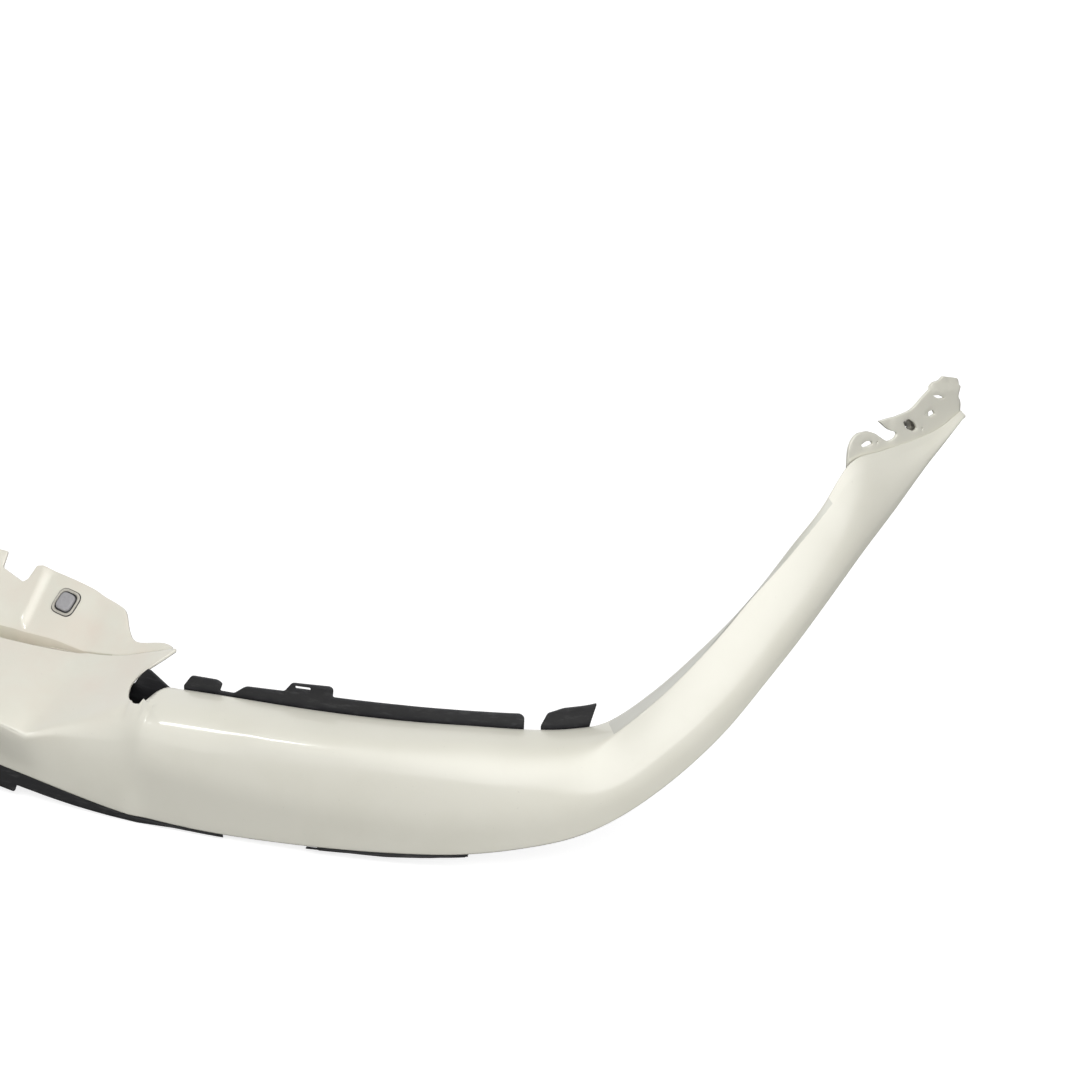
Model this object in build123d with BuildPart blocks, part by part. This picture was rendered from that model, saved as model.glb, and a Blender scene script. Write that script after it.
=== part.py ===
import os
from math import atan2, cos, sin

from build123d import *

os.makedirs("parts", exist_ok=True)

# Front upper bumper cover, millimetres.  +Z up, the front faces -Y, and the vehicle's left side is +X.
# The origin is the middle of the cover's footprint, at the height of its lowest trim.

# ---- driving dimensions ------------------------------------------------------------------------
front_y = -304.0          # how far the widest line stands ahead of the origin, on the centre line
edge_height = 10.0        # height of the datum that all heights below are measured from
skin_wall = 3.0           # painted skin
lip_depth = 20.0          # return lip along the lower edge
flange_slope = 0.91       # rise of the hood flange for each millimetre back
flange_reach = 154.0      # how far back the hood flange runs
trim_wall = 2.5           # black mouldings and brackets
section_spacing = 30.0    # between the sections that the skin is lofted through
gap = 0.4                 # space between neighbouring pieces

# The widest line seen from above, as (across, back) from the nose.
plan_points = [
    (0, 0), (250, 10), (500, 44), (680, 100), (790, 175), (850, 265), (880, 400), (893, 620),
]

with BuildLine() as plan_builder:
    plan = Spline(
        [(x, front_y + y, edge_height) for x, y in plan_points],
        tangents=[(1, 0, 0), (0, 1, 0)],
    )
plan_length = plan.length


def station_plane(station):
    """The upright plane across the cover at a distance along the plan line: x inward, y up."""
    along = plan % (station / plan_length)
    inward = Vector(-along.Y, along.X, 0)
    return Plane(origin=plan @ (station / plan_length), x_dir=inward, z_dir=along)


def world(station, inset, height):
    """The point at a distance along the plan line, an inset behind it and a height over the datum."""
    return station_plane(station).from_local_coords(Vector(inset, height, 0))


def behind(points, wall):
    """The same open outline, moved inward by the wall thickness with mitred corners."""
    moved = []
    for i, (x, y) in enumerate(points):
        before = points[max(i - 1, 0)]
        here = points[i]
        after = points[min(i + 1, len(points) - 1)]
        first = (here[0] - before[0], here[1] - before[1]) if i else None
        second = (after[0] - here[0], after[1] - here[1]) if i < len(points) - 1 else None
        first = first or second
        second = second or first
        turn_1 = atan2(first[1], first[0])
        turn_2 = atan2(second[1], second[0])
        middle = (turn_1 + turn_2) / 2
        reach = wall / cos((turn_2 - turn_1) / 2)
        moved.append((x + reach * sin(middle), y - reach * cos(middle)))
    return moved


def wall_section(station, legs, wall=skin_wall):
    """One thin section of the skin; each leg is a straight line of two points or a curve of more."""
    outline = legs[0] + [point for leg in legs[1:] for point in leg[1:]]
    inner = behind(outline, wall)
    with BuildSketch(station_plane(station)) as section:
        with BuildLine():
            start = 0
            for leg in legs:
                end = start + len(leg) - 1
                for side in (outline, inner):
                    run = side[start:end + 1]
                    if len(run) == 2:
                        Line(*run)
                    else:
                        Spline(*run)
                start = end
            Line(outline[0], inner[0])
            Line(outline[-1], inner[-1])
        make_face()
    return section.sketch


# ---- bumper skin -------------------------------------------------------------------------------
# Nose: station, lower edge, then inset and height of the brow, of the hood line and of the flange's foot.
nose_rows = [
    (0, 50, -14, 98, 78, 112, 84, 89),
    (100, 44, -14, 95, 79, 108, 85, 90),
    (180, 31, -13, 84, 80, 104, 86, 91),
    (225, 24, -11, 73, 84, 101, 90, 95),
    (260, 18, -6, 61, 88, 99, 92, 96),
]
horn_rows = [
    (260, 18, -6, 61, 88, 99, 92, 96),
    (300, 11, 5, 74, 91, 104, 94, 102),
    (332, 6, 11, 85, 95, 112, 98, 110),
    (364, 2, 13, 94, 97, 121, 100, 119),
]
# Band: station, lower edge, soft crease, shoulder inset and height, top edge inset and height.
band_rows = [
    (364, 2, 54, 13, 94, 55, 103),
    (430, -2, 46, 12, 94, 55, 104.5),
    (520, -1, 39, 12, 94, 55, 104),
    (612, 4, 36, 12, 95, 55, 104),
    (668, 7, 37, 12, 95, 55, 104),
    (721, 13, 41, 12, 93, 55, 102),
    (766, 23, 50, 14, 95, 52, 103),
    (804, 39, 65, 25, 108, 49, 109),
    (850, 66, 92, 24, 139, 44, 138),
    (900, 100, 124, 23, 176, 38, 177),
    (950, 138, 158, 22, 212, 32, 213.5),
    (1005, 171, 190, 20, 239, 26, 240),
    (1050, 194, 210, 18, 260, 23, 264),
    (1093, 213, 228, 14, 283, 20, 293),
    (1142, 231, 243, 11, 280, 16, 289),
    (1200, 252, 259, 8, 275, 12, 283),
    (1250, 264, 269, 6, 277, 9, 283),
    (1284, 273, 278, 3, 283, 5, 288),
]


def smooth_rows(rows, spacing):
    """More rows between the given ones, on a curve that passes through each and doesn't overshoot."""
    slopes = []
    for i in range(len(rows)):
        before = rows[max(i - 1, 0)]
        after = rows[min(i + 1, len(rows) - 1)]
        slopes.append([(b - a) / (after[0] - before[0]) for a, b in zip(before, after)])
    finer = [rows[0]]
    for i in range(len(rows) - 1):
        span = rows[i + 1][0] - rows[i][0]
        steps = max(round(span / spacing), 1)
        for step in range(1, steps + 1):
            t = step / steps
            row = []
            for a, b, slope_a, slope_b in zip(rows[i], rows[i + 1], slopes[i], slopes[i + 1]):
                keep = 2 * t**3 - 3 * t**2 + 1
                lead = (t**3 - 2 * t**2 + t) * span
                trail = (t**3 - t**2) * span
                row.append(keep * a + (1 - keep) * b + lead * slope_a + trail * slope_b)
            finer.append(tuple(row))
    return finer


def band_legs(low, soft, shoulder_in, shoulder_up, top_in, top_up):
    reach = min(lip_depth, (top_up - low) * 0.6)
    shoulder = (shoulder_in, shoulder_up)
    below = (0.45 * shoulder_in, soft + 0.6 * (shoulder_up - soft))
    above = (shoulder_in + 0.4 * (top_in - shoulder_in), shoulder_up + 0.62 * (top_up - shoulder_up))
    return [
        [(reach, low), (0, low)],
        [(0, low), (0, soft), below, shoulder],
        [shoulder, above, (top_in, top_up)],
    ]


def nose_legs(low, brow_in, brow_up, hood_in, hood_up, foot_in, foot_up):
    brow = (brow_in, brow_up)
    hood = (hood_in, hood_up)
    foot = (foot_in, foot_up)
    bulge = min(brow_in, 0)
    dish = max(brow_in, 0)
    middle_1 = (0.3 * bulge, low + 0.4 * (brow_up - low))
    middle_2 = (0.75 * bulge + 0.4 * dish, low + 0.75 * (brow_up - low))
    end = (flange_reach, foot_up + flange_slope * (flange_reach - foot_in))
    return [
        [(lip_depth, low), (0, low)],
        [(0, low), middle_1, middle_2, brow],
        [brow, hood],
        [hood, foot],
        [foot, end],
    ]


def lofted(rows, legs_of, ruled=False):
    with BuildPart() as shell:
        for station, *shape in smooth_rows(rows, section_spacing):
            add(wall_section(station, legs_of(*shape)))
        loft(ruled=ruled)
    return shell.part


def row_at(rows, station):
    """The values of a smoothed row at one station."""
    finer = smooth_rows(rows, 4.0)
    before = max((row for row in finer if row[0] <= station), key=lambda row: row[0])
    after = min((row for row in finer if row[0] >= station), key=lambda row: row[0])
    share = (station - before[0]) / max(after[0] - before[0], 1e-6)
    return [a + share * (b - a) for a, b in zip(before, after)][1:]


def low_edge(station):
    """Height of the skin's lower edge at a station."""
    rows = nose_rows if station < 260 else horn_rows if station < 364 else band_rows
    return row_at(rows, station)[0]


def curved_strip(rows):
    """A strip along the plan line; a row is station, inset, thickness, bottom and top."""
    with BuildPart() as strip:
        for station, inset, thickness, bottom, top in smooth_rows(rows, section_spacing):
            with BuildSketch(station_plane(station)):
                with Locations((inset + thickness / 2, (bottom + top) / 2)):
                    Rectangle(thickness, top - bottom)
        loft(ruled=True)
    return strip.part


def angle_strip(rows, reach, shelf_on_top=True, wall=trim_wall):
    """An L section along the plan line; a row is station, inset of the web, bottom and top of the web.

    The level shelf goes inward from the top of the web, or forward from its foot.
    """
    with BuildPart() as strip:
        for station, inset, bottom, top in smooth_rows(rows, section_spacing):
            web = inset + wall
            if shelf_on_top:
                shelf = [(inset + reach, top), (inset + reach, top - wall), (web, top - wall)]
                outline = [(web, bottom), (inset, bottom), (inset, top)] + shelf
            else:
                shelf = [(inset, bottom + wall), (inset - reach, bottom + wall), (inset - reach, bottom)]
                outline = [(web, bottom), (web, top), (inset, top)] + shelf
            with BuildSketch(station_plane(station)):
                with BuildLine():
                    Polyline(outline, close=True)
                make_face()
        loft(ruled=True)
    return strip.part


def upright(station, inset, height):
    """A level plane over a point of the cover, for holes, bosses and screws that stand upright."""
    return Plane(origin=world(station, inset, height))


def plan_prism(outline, bottom, top):
    """A prism over an outline seen from above, given as (across, back) from the nose."""
    with BuildPart() as prism:
        with BuildSketch(Plane.XY.offset(edge_height + bottom)):
            with BuildLine():
                Polyline([(x, front_y + y) for x, y in outline], close=True)
            make_face()
        extrude(amount=top - bottom)
    return prism.part


def write(part, name):
    part.label = name
    export_step(part, f"parts/{name}.step")


def write_pair(part, name):
    write(part, name + "_left")
    write(mirror(part, about=Plane.YZ), name + "_right")


# ---- bumper skin: shell, slot, notches and wing flange -------------------------------------------
# Seen from above: the free edge of the hood flange, the horn tip and the round-ended slot beside it.
horn_outline = [
    (176, 190), (176, 153), (237, 149), (268, 143), (277, 140), (289, 126), (301, 119), (325, 123),
    (337, 122), (348, 116), (341, 104), (334, 94), (329, 84), (328, 74), (332, 64), (339, 54),
    (347, 46), (353, 42), (358, 40), (362, 41), (362, 46), (361, 56), (361, 66), (362, 72),
    (365, 78), (375, 95), (390, 190),
]
latch_notch = [(134, 190), (136, 144), (163, 138), (167, 141), (169, 190)]
striker_notch = [(-38, 190), (-38, 142), (-30, 134), (30, 134), (38, 142), (38, 190)]
notch_heights = (60, 260)  # foot and top of the prisms that cut the slot and the notches

# Wing flange seen from the side, as (back from the nose, height), and where it stands on the top edge.
wing_outline = [
    (424, 284), (424, 308), (428, 311), (459, 308), (484, 294), (500, 289), (505, 292), (499, 298),
    (475, 313), (533, 306), (568, 318), (586, 318), (593, 323), (616, 310), (618, 303), (611, 294),
    (620, 284), (621, 268), (570, 268), (500, 274),
]
wing_offset = 1.0
wing_wall = 2.5
wing_rows = [
    (row[0], row[5] + wing_offset, wing_wall, row[6] - 4, row[6] + 52)
    for row in band_rows[13:]
]
wing_rows.append((1292, 5.5, wing_wall, 276, 335))
joint_bore = 3.2          # radius of the fender screw hole in the wing nut
joint_place = (533, 294)  # centre of the oval in the wing flange
clip_place = (455, 300)
lens_place = (583, 303)
snap_place = (573, 289)
boss_radius = 4.5
boss_gap = 1.2            # under a boss, because the shelves slope along the cover
pilot_radius = 1.6

bracket_screw_stations = [455, 512, 600, 690]
corner_screw_stations = [752, 778]
bracket_screw_inset = 42.0
screw_clearance = 2.2     # radius of the holes that screws pass through
bracket_shelf_drop = 12.0
trim_screw_stations = [560, 640]
rivet_stations = [70, 190]
rivet_inset = 13.0
rivet_hole = 3.2
retainer_screw_stations = [60, 215]
retainer_screw_inset = 50.0
# Upper retainer: station, inset of its web, foot and top of the web.
retainer_rows = [
    (0, 30, 62, 88), (100, 30, 60, 86), (180, 30, 50, 78),
    (225, 30, 44, 70), (260, 30, 40, 63), (300, 30, 40, 62),
]
retainer_shelf = 36.0


def retainer_top(station):
    return row_at(retainer_rows, station)[2]


def roof_height(station, inset):
    """Height of the skin's outer face over a point behind the brow or shoulder."""
    if station < 364:
        row = row_at(nose_rows if station < 260 else horn_rows, station)
        (in_1, up_1), (in_2, up_2) = row[1:3], row[3:5]
    else:
        row = row_at(band_rows, station)
        (in_1, up_1), (in_2, up_2) = row[2:4], row[4:6]
        if inset < in_1 + 0.4 * (in_2 - in_1):
            in_2, up_2 = in_1 + 0.4 * (in_2 - in_1), up_1 + 0.62 * (up_2 - up_1)
        else:
            in_1, up_1 = in_1 + 0.4 * (in_2 - in_1), up_1 + 0.62 * (up_2 - up_1)
    return up_1 + (inset - in_1) / (in_2 - in_1) * (up_2 - up_1)


def bracket_shelf(station):
    """Height of the top of a headlamp bracket's shelf, under the skin's top edge."""
    return row_at(band_rows, station)[5] - bracket_shelf_drop + trim_wall


wing_near = 780.0         # across, where cuts through the left wing start
wing_span = 180.0


def side_prism(outline):
    """A prism across the left wing over an outline seen from the side."""
    with BuildPart() as prism:
        with BuildSketch(Plane.YZ.offset(wing_near)):
            with BuildLine():
                Polyline([(front_y + y, edge_height + z) for y, z in outline], close=True)
            make_face()
        extrude(amount=wing_span)
    return prism.part


with BuildPart() as wing_flange:
    add(curved_strip(wing_rows))
    add(side_prism(wing_outline), mode=Mode.INTERSECT)

with BuildPart() as skin_half:
    add(lofted(nose_rows, nose_legs))
    add(lofted(horn_rows, nose_legs))
    add(lofted(band_rows, band_legs))
    add(plan_prism(horn_outline, *notch_heights), mode=Mode.SUBTRACT)
    add(plan_prism(latch_notch, *notch_heights), mode=Mode.SUBTRACT)
    add(wing_flange.part)
    # holes of the wing flange: screw oval, clip slot, locating slot and snap window
    for (back, height), length, width in [
        (joint_place, 20, 12), (clip_place, 20, 7), (lens_place, 20, 6), (snap_place, 9, 7),
    ]:
        with BuildSketch(Plane.YZ.offset(wing_near)):
            with Locations((front_y + back, edge_height + height)):
                SlotOverall(length, width) if length > width * 1.5 else Rectangle(length, width)
        extrude(amount=wing_span, mode=Mode.SUBTRACT)
    # bosses under the top edge that the bracket screws bite into
    for station in bracket_screw_stations + corner_screw_stations:
        foot = bracket_shelf(station) + boss_gap
        height = roof_height(station, bracket_screw_inset) - 1.5 - foot
        with BuildSketch(upright(station, bracket_screw_inset, foot)):
            Circle(boss_radius)
            Circle(pilot_radius, mode=Mode.SUBTRACT)
        extrude(amount=height)
    # bosses under the nose for the retainer's screws
    for station in retainer_screw_stations:
        foot = retainer_top(station) + boss_gap
        height = roof_height(station, retainer_screw_inset) - 2.0 - foot
        with BuildSketch(upright(station, retainer_screw_inset, foot)):
            Circle(boss_radius)
            Circle(pilot_radius, mode=Mode.SUBTRACT)
        extrude(amount=height)
    # rivet and screw holes through the lower lip
    for station in rivet_stations + trim_screw_stations:
        with BuildSketch(upright(station, rivet_inset, low_edge(station) - 8)):
            Circle(rivet_hole if station in rivet_stations else pilot_radius)
        extrude(amount=16, mode=Mode.SUBTRACT)

# ---- tow eye cover: a cap of the same surface, on the right side only ----------------------------
cap_station = 520
cap_height = 49.0
cap_width = 60.0
cap_rise = 52.0
cap_corner = 10.0
cap_gap = 0.8
cap_setback = 30.0        # from the cutting plane in front of the skin to its outer face
cap_cut = 60.0
snap_arm = (1.6, 14, 9)   # thickness, height and length
tab_place = (75, 164)
tab_size = (44, 34)
tab_hole = 3.5            # radius
tab_hole_back = 166


def mirrored_front(station, height):
    """The plane that faces the right side's skin square on: x along the skin, y up, z inward."""
    left = station_plane(station)
    inward = Vector(-left.x_dir.X, left.x_dir.Y, 0)
    origin = Vector(-left.origin.X, left.origin.Y, edge_height + height)
    return Plane(origin=origin - inward * cap_setback, x_dir=Vector(0, 0, 1).cross(inward), z_dir=inward)


cap_plane = mirrored_front(cap_station, cap_height)

with BuildPart() as bumper_skin:
    add(skin_half.part)
    mirror(about=Plane.YZ)
    add(plan_prism(striker_notch, *notch_heights), mode=Mode.SUBTRACT)
    with BuildSketch(cap_plane):
        RectangleRounded(cap_width + 2 * cap_gap, cap_rise + 2 * cap_gap, cap_corner + cap_gap)
    extrude(amount=cap_cut, mode=Mode.SUBTRACT)
    # level tabs with the holes that fasten the cover to the body above the grille
    for side in (-1, 1):
        tab_height = edge_height + row_at(nose_rows, 70)[6] + flange_slope * (flange_reach - 85) - 4
        with BuildSketch(Plane.XY.offset(tab_height)):
            with Locations((side * tab_place[0], front_y + tab_place[1])):
                RectangleRounded(*tab_size, 6)
            with Locations((side * tab_place[0], front_y + tab_hole_back)):
                Circle(tab_hole, mode=Mode.SUBTRACT)
        extrude(amount=skin_wall)
write(bumper_skin.part, "bumper_skin")

with BuildPart() as tow_cover:
    add(mirror(skin_half.part, about=Plane.YZ))
    with BuildSketch(cap_plane):
        RectangleRounded(cap_width, cap_rise, cap_corner)
    extrude(amount=cap_cut, mode=Mode.INTERSECT)
    # snap arms behind the cap
    with BuildSketch(cap_plane.offset(cap_setback + skin_wall - 0.4)):
        with GridLocations(cap_width - 10, 0, 2, 1):
            Rectangle(snap_arm[0], snap_arm[1])
    extrude(amount=snap_arm[2])
write(tow_cover.part, "tow_eye_cover")

# ---- black brackets under the headlamps ----------------------------------------------------------
rail_clearance = 2.5      # from the skin's top edge back to the rail


def bracket_rows(profile):
    """Rows for an upright bracket wall; the profile gives stations and rises over the skin's top edge."""
    rows = []
    for station, rise in profile:
        top_in, top_up = row_at(band_rows, station)[4:6]
        rows.append((station, top_in + rail_clearance, bracket_shelf(station) - trim_wall, top_up + rise))
    return rows


def bracket_tab(profile, foot=-4.0):
    """A tab that stands on a bracket's rail."""
    return curved_strip([
        (station, inset, trim_wall, top - rise + foot, top)
        for (station, rise), (_, inset, bottom, top) in zip(profile, bracket_rows(profile))
    ])


def screw_holes(stations, inset, height_of, radius, depth=12.0):
    """Upright clearance holes through a shelf or lip."""
    for station in stations:
        with BuildSketch(upright(station, inset, height_of(station) - depth / 2)) as hole:
            Circle(radius)
        extrude(hole.sketch, amount=depth, mode=Mode.SUBTRACT)


rail_profile = [
    (388, 1.0), (425, 1.0), (438, 1.0), (452, 10.0), (520, 11.0), (600, 11.5), (668, 11.0), (720, 11.5),
]
inner_tab_profile = [(388, 12.0), (424, 12.0)]
outer_tab_profile = [(490, 21.0), (536, 22.0)]
tab_slot_station = 507
tab_slot_rise = 12.3      # over the skin's top edge
tab_slot_size = (14, 3)
shelf_reach = 24.0        # forward from a bracket's wall
corner_shelf_reach = 20.0

with BuildPart() as headlamp_bracket:
    add(angle_strip(bracket_rows(rail_profile), shelf_reach, shelf_on_top=False))
    add(bracket_tab(inner_tab_profile))
    add(bracket_tab(outer_tab_profile))
    # the slot in the outer tab
    slot_plane = station_plane(tab_slot_station)
    slot_up = row_at(band_rows, tab_slot_station)[5] + tab_slot_rise
    slot_origin = world(tab_slot_station, 50, slot_up)
    with BuildSketch(Plane(origin=slot_origin, x_dir=slot_plane.z_dir, z_dir=slot_plane.x_dir)):
        Rectangle(*tab_slot_size)
    extrude(amount=16, mode=Mode.SUBTRACT)
    screw_holes(bracket_screw_stations, bracket_screw_inset, bracket_shelf, screw_clearance)
write_pair(headlamp_bracket.part, "headlamp_bracket")

# ---- corner bracket: a leaning tab of its own at the outer end of the headlamp --------------------
corner_foot_profile = [(738, 0.5), (748, 12.0), (756, 15.0), (786, 16.5)]
corner_overhang_profile = [(774, 16.2), (785, 16.6), (795, 17.0)]

with BuildPart() as corner_bracket:
    add(angle_strip(bracket_rows(corner_foot_profile), corner_shelf_reach, shelf_on_top=False))
    add(bracket_tab(corner_overhang_profile, foot=8.0))
    screw_holes(corner_screw_stations, bracket_screw_inset, bracket_shelf, screw_clearance)
write_pair(corner_bracket.part, "corner_bracket")

# ---- slot closer: the black channel seen through the slot beside the horn -------------------------
closer_face = [
    (316, 62), (316, 93), (326, 95), (334, 106), (341, 113), (345, 112), (362, 101), (371, 96), (371, 62),
]
closer_shelf = [(316, 34), (316, 81), (371, 81), (371, 44)]
closer_back = 80.0
closer_foot = 60.0

with BuildPart() as slot_closer:
    with BuildSketch(Plane.XZ.offset(-(front_y + closer_back))):
        with BuildLine():
            Polyline([(x, edge_height + z) for x, z in closer_face], close=True)
        make_face()
    extrude(amount=-trim_wall)
    add(plan_prism(closer_shelf, closer_foot, closer_foot + trim_wall))
write_pair(slot_closer.part, "slot_closer")

# ---- upper retainer behind the nose ---------------------------------------------------------------
with BuildPart() as upper_retainer:
    add(angle_strip(retainer_rows, retainer_shelf))
    screw_holes(retainer_screw_stations, retainer_screw_inset, retainer_top, screw_clearance)
    mirror(about=Plane.YZ)
write(upper_retainer.part, "upper_retainer")

# ---- black moulding and trims along the lower edge ------------------------------------------------
# Drop of each web under the skin's lower edge, by station.
moulding_drops = [
    (0, 23), (100, 23), (180, 23), (236, 23), (246, 16), (300, 15), (350, 13), (400, 8), (430, 5), (452, 3.5),
]
trim_drops = [(526, 3.2), (540, 4.5), (600, 4.5), (655, 4.5), (672, 3.2)]
moulding_inset, moulding_shelf = 2.5, 17.0
trim_inset, trim_shelf = 2.0, 17.5


def moulding_rows(drops, web_inset):
    """Rows of an angle whose web hangs below the skin's lower edge by the given drops."""
    return [
        (station, web_inset, low_edge(station) - gap - drop, low_edge(station) - gap)
        for station, drop in drops
    ]


with BuildPart() as lower_moulding:
    add(angle_strip(moulding_rows(moulding_drops, moulding_inset), moulding_shelf))
    screw_holes(rivet_stations, rivet_inset, low_edge, rivet_hole)
    mirror(about=Plane.YZ)
write(lower_moulding.part, "lower_moulding")

with BuildPart() as lower_trim:
    add(angle_strip(moulding_rows(trim_drops, trim_inset), trim_shelf))
    screw_holes(trim_screw_stations, rivet_inset, low_edge, screw_clearance)
write_pair(lower_trim.part, "lower_trim")

# ---- pads that the hood lands on ------------------------------------------------------------------
pad_station = 224
pad_inset = 124.0
pad_size = (21, 23)
pad_thickness = 3.0


def flange_height(station, inset):
    foot_in, foot_up = row_at(nose_rows, station)[5:7]
    return foot_up + flange_slope * (inset - foot_in)


pad_along = station_plane(pad_station).z_dir
pad_normal = (Vector(0, 0, 1) - station_plane(pad_station).x_dir * flange_slope).normalized()
pad_plane = Plane(
    origin=world(pad_station, pad_inset, flange_height(pad_station, pad_inset)) + pad_normal * 0.1,
    x_dir=pad_along, z_dir=pad_normal,
)
with BuildPart() as hood_pad:
    with BuildSketch(pad_plane):
        RectangleRounded(*pad_size, 5)
    extrude(amount=pad_thickness)
    chamfer(hood_pad.faces().sort_by(SortBy.AREA)[-1].edges(), 0.8)
write_pair(hood_pad.part, "hood_pad")

# ---- captive nut behind the oval of the wing flange -----------------------------------------------
nut_plate = (24, 18, 1.2)
nut_barrel = 4.6
nut_length = 6.0
nut_gap = 2.0             # behind the flange, which curves away from the flat plate
joint_station = 1205

nut_inset = row_at(band_rows, joint_station)[4] + wing_offset + wing_wall + nut_gap
nut_face = world(joint_station, nut_inset, 0).X
with BuildPart() as wing_nut:
    with BuildSketch(Plane.YZ.offset(nut_face)):
        with Locations((front_y + joint_place[0], edge_height + joint_place[1])):
            RectangleRounded(nut_plate[0], nut_plate[1], 2)
    extrude(amount=-nut_plate[2])
    with BuildSketch(Plane.YZ.offset(nut_face - nut_plate[2])):
        with Locations((front_y + joint_place[0], edge_height + joint_place[1])):
            Circle(nut_barrel)
    extrude(amount=-nut_length)
    with BuildSketch(Plane.YZ.offset(nut_face + 1)):
        with Locations((front_y + joint_place[0], edge_height + joint_place[1])):
            Circle(joint_bore)
    extrude(amount=-nut_length - nut_plate[2] - 2, mode=Mode.SUBTRACT)
write_pair(wing_nut.part, "wing_nut")

# ---- fasteners ------------------------------------------------------------------------------------
screw_head = 4.2
screw_head_height = 2.4
head_gap = 1.0            # over a screw head, because the shelves slope along the cover


def add_screw(station, inset, seat, length=9.0):
    """A pan-head screw that stands upright with its head under a seat."""
    with BuildSketch(upright(station, inset, seat - screw_head_height)) as head:
        Circle(screw_head)
    extrude(head.sketch, amount=screw_head_height)
    with BuildSketch(upright(station, inset, seat)) as shank:
        Circle(pilot_radius - 0.05)
    extrude(shank.sketch, amount=length)
    with BuildSketch(upright(station, inset, seat - screw_head_height)) as cross:
        Rectangle(4.5, 0.9)
        Rectangle(0.9, 4.5)
    extrude(cross.sketch, amount=1.2, mode=Mode.SUBTRACT)


with BuildPart() as bracket_screws:
    for station in bracket_screw_stations + corner_screw_stations:
        add_screw(station, bracket_screw_inset, bracket_shelf(station) - trim_wall - head_gap, 7.0)
write_pair(bracket_screws.part, "bracket_screws")

with BuildPart() as retainer_screws:
    for station in retainer_screw_stations:
        add_screw(station, retainer_screw_inset, retainer_top(station) - trim_wall - head_gap, 9.0)
    mirror(about=Plane.YZ)
write(retainer_screws.part, "retainer_screws")

with BuildPart() as trim_screws:
    for station in trim_screw_stations:
        add_screw(station, rivet_inset, low_edge(station) - gap - trim_wall - head_gap - 0.2, 8.0)
write_pair(trim_screws.part, "trim_screws")

# ---- push rivets: a sleeve with a head, and a centre pin that locks it -----------------------------
sleeve_head = 6.4
sleeve_bore = 1.75
pin_radius = 1.70
pin_head = 3.4
rivet_grip = 9.0
sleeve_flange = 1.5       # thickness of the sleeve's head
pin_head_height = 1.6


def rivet_seat(station):
    return low_edge(station) - gap - trim_wall - 2.4


with BuildPart() as rivet_sleeves:
    for station in rivet_stations:
        seat = rivet_seat(station)
        with BuildSketch(upright(station, rivet_inset, seat - sleeve_flange)):
            Circle(sleeve_head)
        extrude(amount=sleeve_flange)
        with BuildSketch(upright(station, rivet_inset, seat)):
            Circle(rivet_hole - 0.25)
        extrude(amount=rivet_grip + 3)
        with BuildSketch(upright(station, rivet_inset, seat - 2)):
            Circle(sleeve_bore)
        extrude(amount=rivet_grip + 6, mode=Mode.SUBTRACT)
    mirror(about=Plane.YZ)
write(rivet_sleeves.part, "rivet_sleeves")

for station, place in zip(rivet_stations, ("inner", "outer")):
    seat = rivet_seat(station)
    with BuildPart() as rivet_pin:
        with BuildSketch(upright(station, rivet_inset, seat - 2 * pin_head_height)):
            Circle(pin_head)
        extrude(amount=pin_head_height)
        with BuildSketch(upright(station, rivet_inset, seat - pin_head_height)):
            Circle(pin_radius)
        extrude(amount=rivet_grip + 4)
    write_pair(rivet_pin.part, f"rivet_pin_{place}")
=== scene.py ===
from math import cos, pi, radians, sin

import bpy
import numpy as np
from mathutils import Matrix, Vector
from mathutils.geometry import delaunay_2d_cdt


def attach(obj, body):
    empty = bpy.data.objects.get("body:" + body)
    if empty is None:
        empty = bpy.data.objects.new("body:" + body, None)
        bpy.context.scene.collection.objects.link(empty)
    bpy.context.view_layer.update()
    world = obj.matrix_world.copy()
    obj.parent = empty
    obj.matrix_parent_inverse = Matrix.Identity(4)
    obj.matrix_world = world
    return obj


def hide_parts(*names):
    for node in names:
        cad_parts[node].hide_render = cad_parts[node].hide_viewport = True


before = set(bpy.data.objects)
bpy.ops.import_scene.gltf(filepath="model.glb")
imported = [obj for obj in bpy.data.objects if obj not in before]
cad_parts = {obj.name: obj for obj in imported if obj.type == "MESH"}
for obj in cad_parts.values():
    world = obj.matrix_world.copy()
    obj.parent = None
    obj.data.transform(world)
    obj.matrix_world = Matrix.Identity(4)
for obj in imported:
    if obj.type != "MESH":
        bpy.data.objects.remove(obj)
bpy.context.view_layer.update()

# Lengths below are in millimetres, as in the CAD part, and become metres when a mesh is made.
# A place on the cover is a station along the plan line, an inset behind it and a height over a datum.
MM = 0.001
FRONT_Y = -304.0          # the plan line's foremost point, in the row frame
DATUM_Z = 10.0            # the datum of all heights, in the row frame
SKIN_WALL = 3.0
TRIM_WALL = 2.5
LIP_DEPTH = 20.0
FLANGE_SLOPE = 0.91
FLANGE_REACH = 154.0
RIM = 0.7                 # rounding of moulded edges

# ---- camera, light and floor ---------------------------------------------------------------------
# Brightness of the studio towards the light, beside it, away from it and under the horizon.
SKY_FRONT, SKY_SIDE, SKY_REAR, GROUND = 2.26, 0.10, 1.20, 0.09
HORIZON_SOFTNESS = 0.04
FLOOR_GLOW = 0.72


def make_camera():
    """The camera at three-quarter view, looking a little down on the left front corner."""
    right = (0.87462, 0.48481, 0.0)
    up = (-0.19719, 0.35574, 0.91355)
    back = (0.44289, -0.79901, 0.40674)
    place = (1.8903, -2.2987, 1.3912)
    data = bpy.data.cameras.new("camera")
    data.lens = 107.33
    data.sensor_width = 36.0
    camera = bpy.data.objects.new("camera", data)
    turn = Matrix((right, up, back)).transposed().to_4x4()
    camera.matrix_world = Matrix.Translation(place) @ turn
    bpy.context.scene.collection.objects.link(camera)
    bpy.context.scene.camera = camera


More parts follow.
